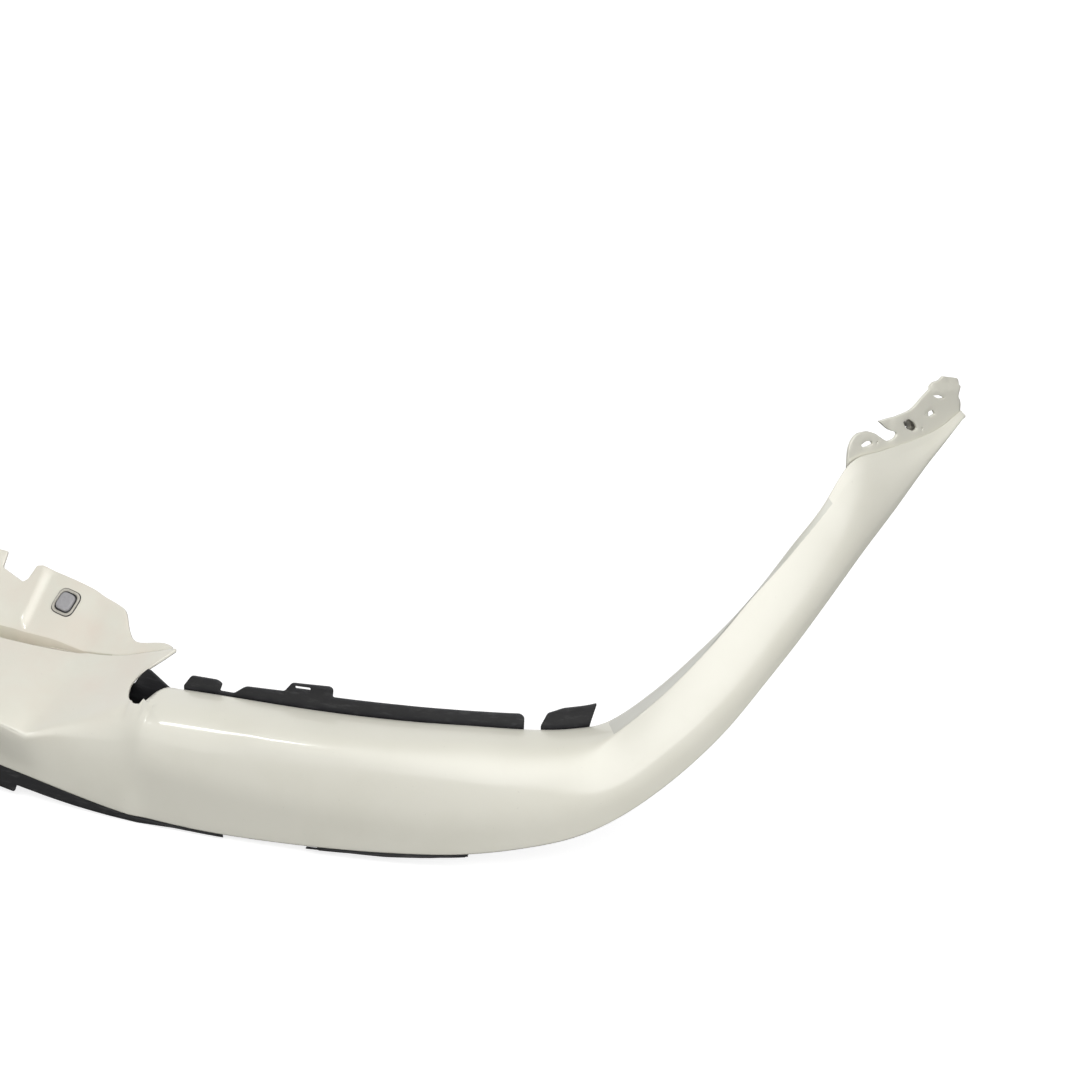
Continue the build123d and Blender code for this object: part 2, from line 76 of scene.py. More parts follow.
class Nodes:
    """A node tree, with short calls for what the studio and the finishes share."""

    def __init__(self, owner):
        owner.use_nodes = True
        self.tree = owner.node_tree

    def feed(self, socket, value):
        """Link a socket, or set a constant on it."""
        if isinstance(value, bpy.types.NodeSocket):
            self.tree.links.new(value, socket)
        else:
            socket.default_value = value

    def add(self, kind, inputs=None, **settings):
        """A node with its settings, and its inputs as constants or sockets."""
        node = self.tree.nodes.new("ShaderNode" + kind)
        for name, value in settings.items():
            setattr(node, name, value)
        for name, value in (inputs or {}).items():
            self.feed(node.inputs[name], value)
        return node

    def noise(self, place, scale, detail=4.0, rough=0.5, stretch=None):
        """Noise at a place, which may be stretched first."""
        if stretch:
            place = self.add("Mapping", {"Vector": place, "Scale": stretch}).outputs["Vector"]
        shape = {"Vector": place, "Scale": scale, "Detail": detail, "Roughness": rough}
        return self.add("TexNoise", shape).outputs["Fac"]

    def spread(self, value, low, high, to_low=0.0, to_high=1.0):
        """A value's range between low and high, spread over another range."""
        span = {"From Min": low, "From Max": high, "To Min": to_low, "To Max": to_high}
        return self.add("MapRange", {"Value": value, **span}).outputs["Result"]

    def times(self, first, second):
        """The product of two values."""
        return self.add("Math", {0: first, 1: second}, operation="MULTIPLY").outputs[0]

    def mix(self, share, first, second):
        """A mix of two colours, given as triples or sockets."""
        first, second = ((*c, 1) if isinstance(c, tuple) else c for c in (first, second))
        return self.add("Mix", {"Factor": share, 6: first, 7: second}, data_type="RGBA").outputs[2]


def make_world(light_from):
    """A studio with a wide soft light on the camera's side, a dimmer rear and a dim ground."""
    world = bpy.data.worlds.new("studio")
    n = Nodes(world)
    place = n.add("TexCoord").outputs["Generated"]
    facing = n.add("VectorMath", {0: place, 1: light_from}, operation="DOT_PRODUCT").outputs["Value"]
    ramp = n.add("ValToRGB", {"Fac": n.spread(facing, -1.0, 1.0)})
    shades = ramp.color_ramp
    shades.interpolation = "EASE"
    shades.elements[0].color = (*[SKY_REAR] * 3, 1)
    shades.elements[1].color = (*[SKY_FRONT] * 3, 1)
    shades.elements.new(0.5).color = (*[SKY_SIDE] * 3, 1)
    height = n.add("SeparateXYZ", {0: place}).outputs["Z"]
    above = n.spread(height, -HORIZON_SOFTNESS, HORIZON_SOFTNESS)
    colour = n.mix(above, (GROUND,) * 3, ramp.outputs["Color"])
    n.feed(n.tree.nodes["Background"].inputs["Color"], colour)
    bpy.context.scene.world = world


def make_area_light(name, place, target, width, depth, power):
    """A rectangular lamp at a place, turned to a target."""
    data = bpy.data.lights.new(name, "AREA")
    data.shape = "RECTANGLE"
    data.size = width
    data.size_y = depth
    data.energy = power
    light = bpy.data.objects.new(name, data)
    direction = (Vector(target) - Vector(place)).normalized()
    turn = direction.to_track_quat("-Z", "Y").to_matrix().to_4x4()
    light.matrix_world = Matrix.Translation(place) @ turn
    bpy.context.scene.collection.objects.link(light)


def make_floor():
    """A plain near-white sheet that the cover stands on."""
    half = 30.0
    mesh = bpy.data.meshes.new("floor")
    corners = [(-half, -half, 0), (half, -half, 0), (half, half, 0), (-half, half, 0)]
    mesh.from_pydata(corners, [], [(0, 1, 2, 3)])
    floor = bpy.data.objects.new("floor", mesh)
    material = bpy.data.materials.new("floor_sheet")
    n = Nodes(material)
    values = {"Base Color": (0.5, 0.5, 0.5, 1), "Roughness": 0.9, "Specular IOR Level": 0.1,
              "Emission Color": (1, 1, 1, 1), "Emission Strength": FLOOR_GLOW}
    for name, value in values.items():
        n.feed(n.tree.nodes["Principled BSDF"].inputs[name], value)
    mesh.materials.append(material)
    bpy.context.scene.collection.objects.link(floor)
    floor.visible_diffuse = False
    floor.visible_glossy = False
    floor.visible_shadow = False


bpy.context.scene.view_settings.view_transform = "Standard"
make_camera()
make_world(light_from=(0.80, -0.57, 0.18))
make_area_light("streak_light", (-0.55, -2.3, 2.6), (0.35, -0.25, 0.1), 0.9, 0.28, 12)
make_floor()

# ---- materials -----------------------------------------------------------------------------------


class Finish(Nodes):
    """The nodes of one material, over the object's own coordinates."""

    def __init__(self, name):
        self.material = bpy.data.materials.new(name)
        super().__init__(self.material)
        self.shader = self.tree.nodes["Principled BSDF"]
        self.place = self.add("TexCoord").outputs["Object"]

    def grain(self, scale, detail=4.0, rough=0.5, stretch=None):
        """Noise over the object."""
        return self.noise(self.place, scale, detail, rough, stretch)

    def near(self, centre, radius, soft):
        """1 within a radius of a point, in metres, fading to 0."""
        away = self.add("VectorMath", {0: self.place, 1: centre}, operation="DISTANCE").outputs["Value"]
        return self.spread(away, radius, radius + soft, 1.0, 0.0)

    def set(self, **values):
        """Values or sockets for the shader's inputs."""
        for name, value in values.items():
            self.feed(self.shader.inputs[name.replace("_", " ")], value)

    def bump(self, height, strength, distance):
        """Fine relief from a height."""
        relief = {"Height": height, "Strength": strength, "Distance": distance}
        self.set(Normal=self.add("Bump", relief).outputs["Normal"])


def paint_material(name, clean, dusty):
    """White two-layer paint: slightly dusty and yellowed behind the hood line, with a few fine marks."""
    n = Finish(name)
    dust = n.spread(n.grain(9.0, 6.0, 0.6), 0.45, 0.75)
    colour = n.mix(dust, clean, dusty)
    behind = n.times(n.near((0.25, -0.17, 0.15), 0.07, 0.09), n.spread(n.grain(24.0), 0.35, 0.7))
    colour = n.mix(n.times(behind, 0.55), colour, (0.74, 0.64, 0.55))
    specks = n.spread(n.grain(420.0, 2.0), 0.74, 0.78)
    colour = n.mix(n.times(specks, 0.25), colour, (0.45, 0.43, 0.40))
    n.set(Base_Color=colour)
    n.set(Roughness=n.spread(n.grain(30.0, 5.0), 0.3, 0.8, 0.30, 0.42))
    n.set(Coat_Weight=1.0, Coat_Roughness=0.09, Coat_IOR=1.5)
    n.bump(n.grain(700.0, 2.0), 0.05, 0.0002)
    return n.material


# Each kind of plain finish: noise of its pale patches, where they start and end, noise of its roughness and
# how far that runs, noise of its relief, then the relief's strength and distance.
PLAIN_FINISHES = {
    "overspray": ((14.0, 5.0, 0.65), (0.48, 0.72), 60.0, 0.2, (900.0, 2.0), 0.2, 0.0003),
    "plastic": ((45.0, 8.0, 0.7, (1, 3, 6)), (0.52, 0.75), 80.0, 0.15, (1600.0, 2.0), 0.25, 0.0002),
    "foam": ((300.0, 6.0), (0.0, 1.0), 500.0, 0.15, (1800.0, 3.0), 0.4, 0.0003),
    "metal": ((260.0, 5.0), (0.35, 0.65), 400.0, 0.2, (900.0,), 0.15, 0.0002),
}


def plain_material(name, kind, colour, pale, rough):
    """Unpainted plastic, foam rubber or zinc-plated steel, with paler patches and a fine relief."""
    patches, patch_range, rough_scale, rough_span, relief, strength, distance = PLAIN_FINISHES[kind]
    n = Finish(name)
    n.set(Base_Color=n.mix(n.spread(n.grain(*patches), *patch_range), colour, pale))
    n.set(Metallic=1.0 if kind == "metal" else 0.0)
    n.set(Roughness=n.spread(n.grain(rough_scale), 0.3, 0.7, rough, rough + rough_span))
    n.bump(n.grain(*relief), strength, distance)
    return n.material


PAINT = paint_material("white_paint", (0.76, 0.745, 0.655), (0.72, 0.705, 0.61))
# Painted shade: a darker copy of the white paint for the riser behind the hood line, where shade falls in
# the hood seal's seat.
SEAT_PAINTED_SHADE = paint_material("hood_seat_painted_shade", (0.60, 0.585, 0.49), (0.52, 0.51, 0.42))
# Painted shade: a darker copy of the white paint for the ledge of the turn, which faces away from the
# light.
LEDGE_PAINTED_SHADE = paint_material("ledge_painted_shade", (0.60, 0.595, 0.53), (0.54, 0.535, 0.47))
BACKING = plain_material("skin_backing", "overspray", (0.07, 0.07, 0.072), (0.30, 0.30, 0.29), 0.5)
BRACKET_BLACK = plain_material("black_bracket_plastic", "plastic", (0.016, 0.016, 0.018),
                               (0.05, 0.05, 0.052), 0.42)
MOULDING_BLACK = plain_material("black_moulding_plastic", "plastic", (0.020, 0.020, 0.021),
                                (0.06, 0.06, 0.06), 0.5)
PAD_GREY = plain_material("grey_pad", "foam", (0.27, 0.265, 0.275), (0.40, 0.395, 0.405), 0.75)
RIM_GREY = plain_material("grey_rim", "foam", (0.40, 0.38, 0.33), (0.55, 0.53, 0.47), 0.75)
SCREW_STEEL = plain_material("screw_steel", "metal", (0.42, 0.41, 0.38), (0.62, 0.61, 0.58), 0.3)
NUT_STEEL = plain_material("nut_steel", "metal", (0.40, 0.39, 0.36), (0.55, 0.53, 0.48), 0.38)
RIVET_NYLON = plain_material("rivet_nylon", "plastic", (0.03, 0.03, 0.03), (0.08, 0.08, 0.08), 0.35)

# ---- the plan line -------------------------------------------------------------------------------
PLAN_POINTS = np.array([
    (0, 0), (250, 10), (500, 44), (680, 100), (790, 175), (850, 265), (880, 400), (893, 620),
], float)


def cubic(t, span, start, end, start_slope, end_slope):
    """A cubic between two values with their slopes, at a share t of the span."""
    keep = 2 * t**3 - 3 * t**2 + 1
    lead = (t**3 - 2 * t**2 + t) * span
    trail = (t**3 - t**2) * span
    return keep * start + (1 - keep) * end + lead * start_slope + trail * end_slope


def running_length(points):
    """Distance of each point from the first, along a polyline."""
    return np.r_[0, np.cumsum(np.hypot(*np.diff(points, axis=0).T))]


def end_speed(knots, points, at):
    """Size of the slope at an end, from the cubic through its four nearest points."""
    return sum(abs(np.polyfit(knots - at, points[:, k], 3)[-2]) for k in (0, 1))


def plan_curve(points, steps=300):
    """A clamped cubic spline through the points: it starts along +X and ends along +Y."""
    knots = running_length(points)
    count = len(points)
    spans = np.diff(knots)
    chords = np.diff(points, axis=0) / spans[:, None]
    system = np.eye(count)
    known = np.zeros((count, 2))
    known[0] = (end_speed(knots[:4], points[:4], knots[0]), 0)
    known[-1] = (0, end_speed(knots[-4:], points[-4:], knots[-1]))
    for i in range(1, count - 1):
        system[i, i - 1:i + 2] = (spans[i], 2 * (spans[i - 1] + spans[i]), spans[i - 1])
        known[i] = 3 * (spans[i] * chords[i - 1] + spans[i - 1] * chords[i])
    slopes = np.linalg.solve(system, known)
    curve = []
    for i in range(count - 1):
        t = np.linspace(0, 1, steps, endpoint=i == count - 2)[:, None]
        curve.append(cubic(t, spans[i], points[i], points[i + 1], slopes[i], slopes[i + 1]))
    return np.vstack(curve)


PLAN = plan_curve(PLAN_POINTS)
ALONG = running_length(PLAN)
PLAN_LENGTH = ALONG[-1]
HEADING = np.unwrap(np.arctan2(*np.gradient(PLAN, ALONG, axis=0).T[::-1]))


def across_back(station, inset):
    """(across, back from the nose) of a point; stations left of the middle are positive."""
    side = np.sign(station + 1e-9)
    far = np.abs(station)
    turn = np.interp(far, ALONG, HEADING)
    across = np.interp(far, ALONG, PLAN[:, 0]) - inset * np.sin(turn)
    back = np.interp(far, ALONG, PLAN[:, 1]) + inset * np.cos(turn)
    return side * across, back


def to_frame(station, inset, height):
    """Metres in the row frame."""
    across, back = across_back(station, inset)
    return np.stack([across, back + FRONT_Y, height + DATUM_Z], -1) * MM


def station_of(across, back):
    """Station and inset of a point on the left half seen from above."""
    away = (PLAN[:, 0] - across) ** 2 + (PLAN[:, 1] - back) ** 2
    i = int(np.argmin(away))
    turn = HEADING[i]
    step = (across - PLAN[i, 0]) * np.cos(turn) + (back - PLAN[i, 1]) * np.sin(turn)
    inset = -(across - PLAN[i, 0]) * np.sin(turn) + (back - PLAN[i, 1]) * np.cos(turn)
    return ALONG[i] + step, inset


def smoothstep(value, low, high):
    """0 up to low, 1 from high on, and a smooth rise between them."""
    t = np.clip((np.asarray(value, float) - low) / (high - low), 0, 1)
    return t * t * (3 - 2 * t)


# ---- sections of the skin ------------------------------------------------------------------------
# Nose: station, lower edge, then inset and height of the brow, of the hood line and of the flange's foot.
NOSE_ROWS = [
    (0, 46.5, -14, 98, 78, 112, 84, 89),
    (100, 40.5, -14, 95, 79, 108, 85, 90),
    (180, 27.5, -13, 84, 80, 104, 86, 91),
    (225, 20.3, -11, 73, 84, 101, 90, 95),
    (260, 14.3, -6, 61, 88, 99, 92, 96),
]
HORN_ROWS = [
    NOSE_ROWS[-1],
    (300, 7, 5, 74, 91, 104, 94, 102),
    (332, 1.5, 11, 85, 95, 112, 98, 110),
    (364, -3, 13, 94, 97, 121, 100, 119),
]
# Band: station, lower edge, soft crease, shoulder inset and height, top edge inset and height.
BAND_ROWS = [
    (364, -3, 54, 13, 94, 55, 103),
    (430, -5.5, 46, 12, 94, 55, 104.5),
    (520, -3.5, 39, 12, 94, 55, 104),
    (612, 1, 36, 12, 95, 55, 104),
    (668, 5, 37, 12, 95, 55, 104),
    (721, 13, 41, 12, 93, 55, 102),
    (766, 23, 50, 14, 95, 52, 103),
    (804, 39, 65, 25, 108, 49, 109),
    (850, 66, 92, 24, 139, 42, 136),
    (900, 100, 124, 23, 176, 34, 172),
    (950, 138, 158, 22, 212, 28, 206),
    (1005, 171, 190, 20, 239, 26, 240),
    (1050, 194, 210, 18, 260, 23, 264),
    (1093, 213, 228, 14, 283, 20, 293),
    (1142, 231, 243, 11, 280, 16, 289),
    (1200, 252, 259, 8, 273, 12, 281),
    (1250, 265, 269, 5, 273, 8, 277),
    (1284, 273, 275, 3, 277, 5, 280),
]


def row_at(rows, station):
    """The values of the rows at a station, on a curve through each of them."""
    table = np.array(rows, float)
    place, values = table[:, 0], table[:, 1:]
    last = len(table) - 1
    at = min(max(station, place[0]), place[-1])
    i = min(int(np.searchsorted(place, at, side="right")) - 1, last - 1)
    ends = []
    for k in (i, i + 1):
        before, after = max(k - 1, 0), min(k + 1, last)
        ends.append((values[after] - values[before]) / (place[after] - place[before]))
    span = place[i + 1] - place[i]
    return cubic((at - place[i]) / span, span, values[i], values[i + 1], *ends)


HORN_START = HORN_ROWS[0][0]
BAND_START = BAND_ROWS[0][0]


def nose_row(station):
    """The values of the nose or the horn at a station of either side."""
    station = abs(station)
    return row_at(NOSE_ROWS if station < HORN_START else HORN_ROWS, station)


def low_edge(station):
    """Height of the skin's lower edge."""
    return nose_row(station)[0] if abs(station) < BAND_START else row_at(BAND_ROWS, abs(station))[0]


def through(points, count=15):
    """The polynomial curve through a few points, as CAD interpolates them."""
    points = np.array(points, float)
    knots = running_length(points)
    t = np.linspace(0, knots[-1], count)
    degree = len(points) - 1
    return np.stack([np.polyval(np.polyfit(knots, points[:, k], degree), t) for k in (0, 1)], -1)


def along_leg(leg, places):
    """Points at distances along a polyline."""
    return np.stack([np.interp(places, running_length(leg), leg[:, k]) for k in (0, 1)], -1)


FOLD_STATION = 258.0      # where the nose's fold leaves the brow
CREASE_SKEW = 10.0        # how far it leans outward from there to the hood line
# How much higher the flange's foot stands behind the hood line, as a share of SEAT_REACH, by station.
SEAT_REACH = 15.0
SEAT_SHARES = ((0, 100, 180, 225, 260, 300), (1.4, 1.16, 0.91, 0.52, 0.17, 0))


def nose_legs(station):
    """The section of the nose: lip, lower and upper wall, roof, seat of the hood's seal and flange."""
    low, brow_in, brow_up, hood_in, hood_up, foot_in, foot_up = nose_row(station)
    bulge, dish = min(brow_in, 0), max(brow_in, 0)
    wall = through([
        (0, low),
        (0.3 * bulge, low + 0.4 * (brow_up - low)),
        (0.75 * bulge + 0.4 * dish, low + 0.75 * (brow_up - low)),
        (brow_in, brow_up),
    ], 21)
    roof = []
    for t in np.linspace(0, 1, 15):
        brow = nose_row(max(station - CREASE_SKEW * t, 0))[1:3]
        roof.append(brow + t * (np.array((hood_in, hood_up)) - brow))
    seat = SEAT_REACH * float(np.interp(station, *SEAT_SHARES))
    top_in, top_up = foot_in + 0.6 + seat, foot_up + 0.8 + FLANGE_SLOPE * (0.6 + seat)
    deep = (top_in - 0.5, foot_up - 0.1 * seat)
    lift = []
    for t in np.linspace(0, 1, 15):
        inset = top_in + t * (FLANGE_REACH - top_in)
        plain = foot_up + FLANGE_SLOPE * (inset - foot_in)
        start = foot_up + FLANGE_SLOPE * (top_in - foot_in)
        lift.append((inset, plain + (top_up - start) * (1 - t) ** 3))
    return [
        np.array([(LIP_DEPTH, low), (0, low)]),
        wall[:10],
        wall[9:],
        np.array(roof),
        np.array([roof[-1], deep]),
        np.array([deep, (top_in, top_up)]),
        np.array(lift),
    ]


def band_legs(station):
    """The section of the band: lip, lower and upper wall, roof, and three legs past its top edge."""
    low, soft, shoulder_in, shoulder_up, top_in, top_up = row_at(BAND_ROWS, station)
    reach = min(LIP_DEPTH, (top_up - low) * 0.6)
    tuck = min(2.5, 0.06 * (soft - low))
    shoulder, top = (shoulder_in, shoulder_up), (top_in, top_up)
    below = (0.45 * shoulder_in, soft + 0.6 * (shoulder_up - soft))
    bulge = 0.12 * (1 - smoothstep(station, 960, 1060))
    above = (
        shoulder_in + (0.52 - bulge) * (top_in - shoulder_in),
        shoulder_up + (0.52 + bulge * 0.83) * (top_up - shoulder_up),
    )
    past = [(top_in + 1, top_up), (top_in + 2, top_up), (top_in + 60, top_up + 20)]
    return [
        np.array([(reach, low), (tuck, low)]),
        np.array([(tuck, low), (0, soft)]),
        through([(0, soft), below, shoulder]),
        through([shoulder, above, top]),
        np.array([top, past[0]]),
        np.array([past[0], past[1]]),
        np.array([past[1], past[2]]),
    ]


# How far the rounding of the brow or shoulder reaches along its legs, by station.
SHOULDER_ROUNDING = [
    (0, 2), (243, 2), (285, 8), (340, 20), (420, 24), (455, 17), (480, 11), (560, 11), (640, 14), (690, 18),
    (766, 14), (796, 3), (812, 1.2), (1050, 1.2), (1300, 2),
]


def corner_rounding(station):
    """How far each corner's rounding reaches along its legs."""
    shoulder = np.interp(station, *np.array(SHOULDER_ROUNDING, float).T)
    return [0, 2.5, 10, shoulder, 2.5, 0.8, 2.0, 0]


INNER_ROWS = [1, 4, 5, 9, 2, 1, 8]     # rows of each leg between its roundings


def leg_places(length, start, end, inner):
    """Distances along a leg: three steps through each end's rounding and even steps between."""
    start, end = min(start, 0.42 * length), min(end, 0.42 * length)
    first = [0, start / 3, 2 * start / 3, start] if start else [0]
    last = [length - end, length - 2 * end / 3, length - end / 3, length] if end else [length]
    middle = np.linspace(first[-1], last[0], inner + 2)[1:-1]
    return np.array(first + list(middle) + last)


def right_of(direction):
    """The unit vector to the right of a direction."""
    return np.array((direction[1], -direction[0])) / np.hypot(*direction)


def section_rows(legs, station, wall=SKIN_WALL):
    """Outer and inner points of one section, the same number at every station."""
    reach = corner_rounding(station)
    corners = [legs[0][0]] + [leg[-1] for leg in legs]
    normals = [(right_of(leg[1] - leg[0]), right_of(leg[-1] - leg[-2])) for leg in legs]
    mitres = [corners[0] + wall * normals[0][0]]
    for i in range(1, len(legs)):
        before, after = normals[i - 1][1], normals[i][0]
        mitres.append(corners[i] + wall * (before + after) / max(1 + before @ after, 0.6))
    mitres.append(corners[-1] + wall * normals[-1][1])
    outer, inner = [], []
    for i, leg in enumerate(legs):
        length = float(np.hypot(*np.diff(leg, axis=0).T).sum())
        places = leg_places(length, reach[i], reach[i + 1], INNER_ROWS[i])
        points = along_leg(leg, places)
        slope = along_leg(leg, places + 0.01 * length) - along_leg(leg, places - 0.01 * length)
        normal = np.stack([slope[:, 1], -slope[:, 0]], -1)
        normal /= np.linalg.norm(normal, axis=1)[:, None] + 1e-12
        share = (places / length)[:, None]
        shifted = points + wall * normal
        shifted = shifted + (1 - share) * (mitres[i] - shifted[0]) + share * (mitres[i + 1] - shifted[-1])
        if i:
            points, shifted = points[1:], shifted[1:]
        outer.append(points)
        inner.append(shifted)
    outer, inner = np.vstack(outer), np.vstack(inner)
    for at in LEG_STARTS[1:-1]:
        for face in (outer, inner):
            before, corner, after = face[at - 3].copy(), face[at].copy(), face[at + 3].copy()
            for step in range(-2, 3):
                t = (step + 3) / 6
                face[at + step] = (1 - t) ** 2 * before + 2 * t * (1 - t) * corner + t * t * after
    return outer, inner


# Number of the row at the start of each leg, and of the last row. A rounding adds three rows to a leg.
LEG_STARTS = [0] + [int(at) - 3 for at in np.cumsum([inner + 7 for inner in INNER_ROWS])]
LEG_STARTS[-1] -= 3
BROW_ROW, HOOD_ROW, RISER_ROW = LEG_STARTS[3], LEG_STARTS[4], LEG_STARTS[6]

# Between the horn and the band the surface's own station coordinate leans, so that the horn's tip, which
# stands outboard of the slot, and the band's corner beside it don't meet.
CHANGE_DEPTHS = (0, 0.1, 0.2, 0.4, 0.6, 0.8, 1)
CHANGE_STATIONS = (362.5, 359, 355, 352, 353, 359, 364.5)
HORN_LEAN = 14.0


def roof_share(place):
    """0 at the brow or shoulder, 1 at the hood line or top edge."""
    brow, hood = ROW_PLACE[BROW_ROW], ROW_PLACE[HOOD_ROW]
    return np.clip((np.asarray(place, float) - brow) / (hood - brow), 0, 1)


def band_share(station, place):
    """1 on the band, 0 on the horn; under the brow one wall runs into the other."""
    middle = np.interp(roof_share(place), CHANGE_DEPTHS, CHANGE_STATIONS)
    half = 8.0 - 5.0 * smoothstep(place, ROW_PLACE[BROW_ROW] - 8, ROW_PLACE[BROW_ROW] + 6)
    return smoothstep(np.abs(station), middle - half, middle + half)


def horn_lean(station, place):
    """How much further out the true station is than the surface's own, on the horn."""
    return HORN_LEAN * roof_share(place) ** 2 * smoothstep(np.abs(station), 305, 346)


def brow_recess(station, rows_from_brow):
    """How far the nose's wall steps in under the overhanging brow."""
    depth = 3.2 * (1 - smoothstep(station, 246, 262))
    return depth * np.exp(-np.maximum(rows_from_brow - 1, 0) / 2.2) * (rows_from_brow > 0)


def build_tables(stations, legs_of):
    """Outer and inner section rows at each station."""
    rows = np.arange(LEG_STARTS[-1] + 1)
    tables = []
    for station in stations:
        pair = np.array(section_rows(legs_of(station), station))
        if legs_of is nose_legs:
            pair[:, :, 0] += brow_recess(station, np.where(rows < BROW_ROW, BROW_ROW - rows, 0))
        tables.append(pair)
    return np.array(tables)


NOSE_STATIONS = np.arange(0, 392, 2.0)
BAND_STATIONS = np.unique(np.r_[np.arange(340, 420, 2.0), np.arange(420, PLAN_LENGTH, 4.0), PLAN_LENGTH])
NOSE_TABLE = build_tables(NOSE_STATIONS, nose_legs)
BAND_TABLE = build_tables(BAND_STATIONS, lambda station: band_legs(max(station, BAND_START)))
# One length for each row, so that places on the unrolled skin are near their true distances.
SAMPLE_ROWS = np.vstack([NOSE_TABLE[::6, 0], BAND_TABLE[::12, 0]])
ROW_STEPS = np.hypot(*np.moveaxis(np.diff(SAMPLE_ROWS, axis=1), -1, 0))
ROW_PLACE = np.r_[0, np.cumsum(np.maximum(np.median(ROW_STEPS, axis=0), 0.35))]


def look_up_in(stations, table, station, place):
    """Inset and height from one table, between its stations and rows."""
    far = np.clip(np.abs(station), stations[0], stations[-1])
    i = np.clip(np.searchsorted(stations, far, side="right") - 1, 0, len(stations) - 2)
    s = ((far - stations[i]) / (stations[i + 1] - stations[i]))[:, None]
    j = np.clip(np.searchsorted(ROW_PLACE, place, side="right") - 1, 0, len(ROW_PLACE) - 2)
    t = ((place - ROW_PLACE[j]) / (ROW_PLACE[j + 1] - ROW_PLACE[j]))[:, None]
    low = (1 - s) * table[i, j] + s * table[i + 1, j]
    high = (1 - s) * table[i, j + 1] + s * table[i + 1, j + 1]
    return (1 - t) * low + t * high


def look_up(side, station, place):
    """True station, inset and height at the surface's stations and places; side is 0 outside, 1 inside."""
    share = band_share(station, place)
    out = np.abs(station) + (1 - share) * horn_lean(station, place)
    nose = look_up_in(NOSE_STATIONS, NOSE_TABLE[:, side], out, place)
    band = look_up_in(BAND_STATIONS, BAND_TABLE[:, side], out, place)
    return out, (1 - share)[:, None] * nose + share[:, None] * band


def section_at(side, station):
    """Inset and height of every row at one of the surface's stations."""
    return look_up(side, np.full(len(ROW_PLACE), float(station)), ROW_PLACE)[1]


def place_in(points, inset):
    """Place across of a section's point at an inset, from the brow or shoulder on."""
    insets = np.maximum.accumulate(points[BROW_ROW:, 0] + 1e-4 * np.arange(len(points) - BROW_ROW))
    return float(np.interp(inset, insets, ROW_PLACE[BROW_ROW:]))


def place_of_inset(station, inset):
    """Place across of the roof, seat or flange at an inset."""
    return place_in(section_at(0, station), inset)


def place_of_height(station, height):
    """Place across of the front wall's point at a height."""
    points = section_at(0, station)
    wall = slice(LEG_STARTS[1], BROW_ROW + 1)
    return float(np.interp(height, np.maximum.accumulate(points[wall, 1]), ROW_PLACE[wall]))


# The band's edge beside the slot, from above.
SLOT_SIDE = np.array([(358, 30), (361, 42), (360.5, 46), (358, 56), (357, 66), (358, 72), (364, 82)], float)
SLOT_FOLD = 5.0           # width of the fold beside the slot
SLOT_DROP = 3.0
# The flange's middle stands a little higher than its ends, with a step between these distances across.
JOGGLE_FROM, JOGGLE_TO, JOGGLE_RISE = 179.0, 187.0, 3.6


def slot_fold(across, back, place):
    """How far the skin turns down beside the slot; the fold fades in front of the slot's end."""
    line = np.interp(back, SLOT_SIDE[:, 1], SLOT_SIDE[:, 0])
    beside = across - line
    near = np.where(beside > 0, smoothstep(beside, 0.5, SLOT_FOLD), smoothstep(-beside, 1.0, SLOT_FOLD))
    along = smoothstep(back, 30, 42) * smoothstep(place, ROW_PLACE[BROW_ROW], ROW_PLACE[BROW_ROW] + 6)
    return SLOT_DROP * (1 - near) * along * (place < ROW_PLACE[HOOD_ROW] + 1)


def nose_fold(station, place):
    """A sharp, low ridge over the nose from the brow's corner back to the hood line."""
    share = roof_share(place)
    away = np.abs(np.abs(station) - FOLD_STATION - CREASE_SKEW * share)
    on_roof = smoothstep(share, 0.0, 0.25) * (place < ROW_PLACE[HOOD_ROW] + 0.5)
    return (3.4 * np.exp(-away / 38.0) - 1.2 * np.exp(-away / 110.0)) * on_roof


def skin_point(points, depth):
    """Frame points for places on the unrolled skin; depth runs from 0 outside to 1 inside."""
    station, place = points[:, 0], points[:, 1]
    depth = np.broadcast_to(depth, station.shape)[:, None]
    out, outer = look_up(0, station, place)
    section = (1 - depth) * outer + depth * look_up(1, station, place)[1]
    inset, height = section[:, 0].copy(), section[:, 1].copy()
    across, back = across_back(out, inset)
    on_flange = smoothstep(place, ROW_PLACE[RISER_ROW], ROW_PLACE[RISER_ROW] + 10)
    raised = JOGGLE_RISE * on_flange * (1 - smoothstep(across, JOGGLE_FROM, JOGGLE_TO))
    inset -= 0.67 * raised
    height += 0.74 * raised
    height += nose_fold(station, place) * (1 - band_share(station, place))
    height -= slot_fold(across, back, place) * (band_share(station, place) > 0.5)
    side = np.where(station < 0, -1.0, 1.0)
    return to_frame(side * out, inset, height)


# ---- plates: thin curved pieces cut from an unrolled surface ------------------------------------


def inside(points, loop):
    """Even-odd test of points against a closed loop."""
    x, y = points[:, 0], points[:, 1]
    result = np.zeros(len(points), bool)
    for (x1, y1), (x2, y2) in zip(loop, np.roll(loop, -1, axis=0)):
        crosses = (y1 > y) != (y2 > y)
        with np.errstate(divide="ignore", invalid="ignore"):
            at = x1 + (y - y1) / (y2 - y1 if y2 != y1 else 1e-12) * (x2 - x1)
        result ^= crosses & (x < at)
    return result


def within(points, loops):
    """Inside the first loop and outside the others."""
    keep = inside(points, loops[0])
    for hole in loops[1:]:
        keep &= ~inside(points, hole)
    return keep


def loop_area(loop):
    """Area of a closed loop, negative when it runs clockwise."""
    x, y = loop.T
    return 0.5 * float(np.sum(x * np.roll(y, -1) - y * np.roll(x, -1)))


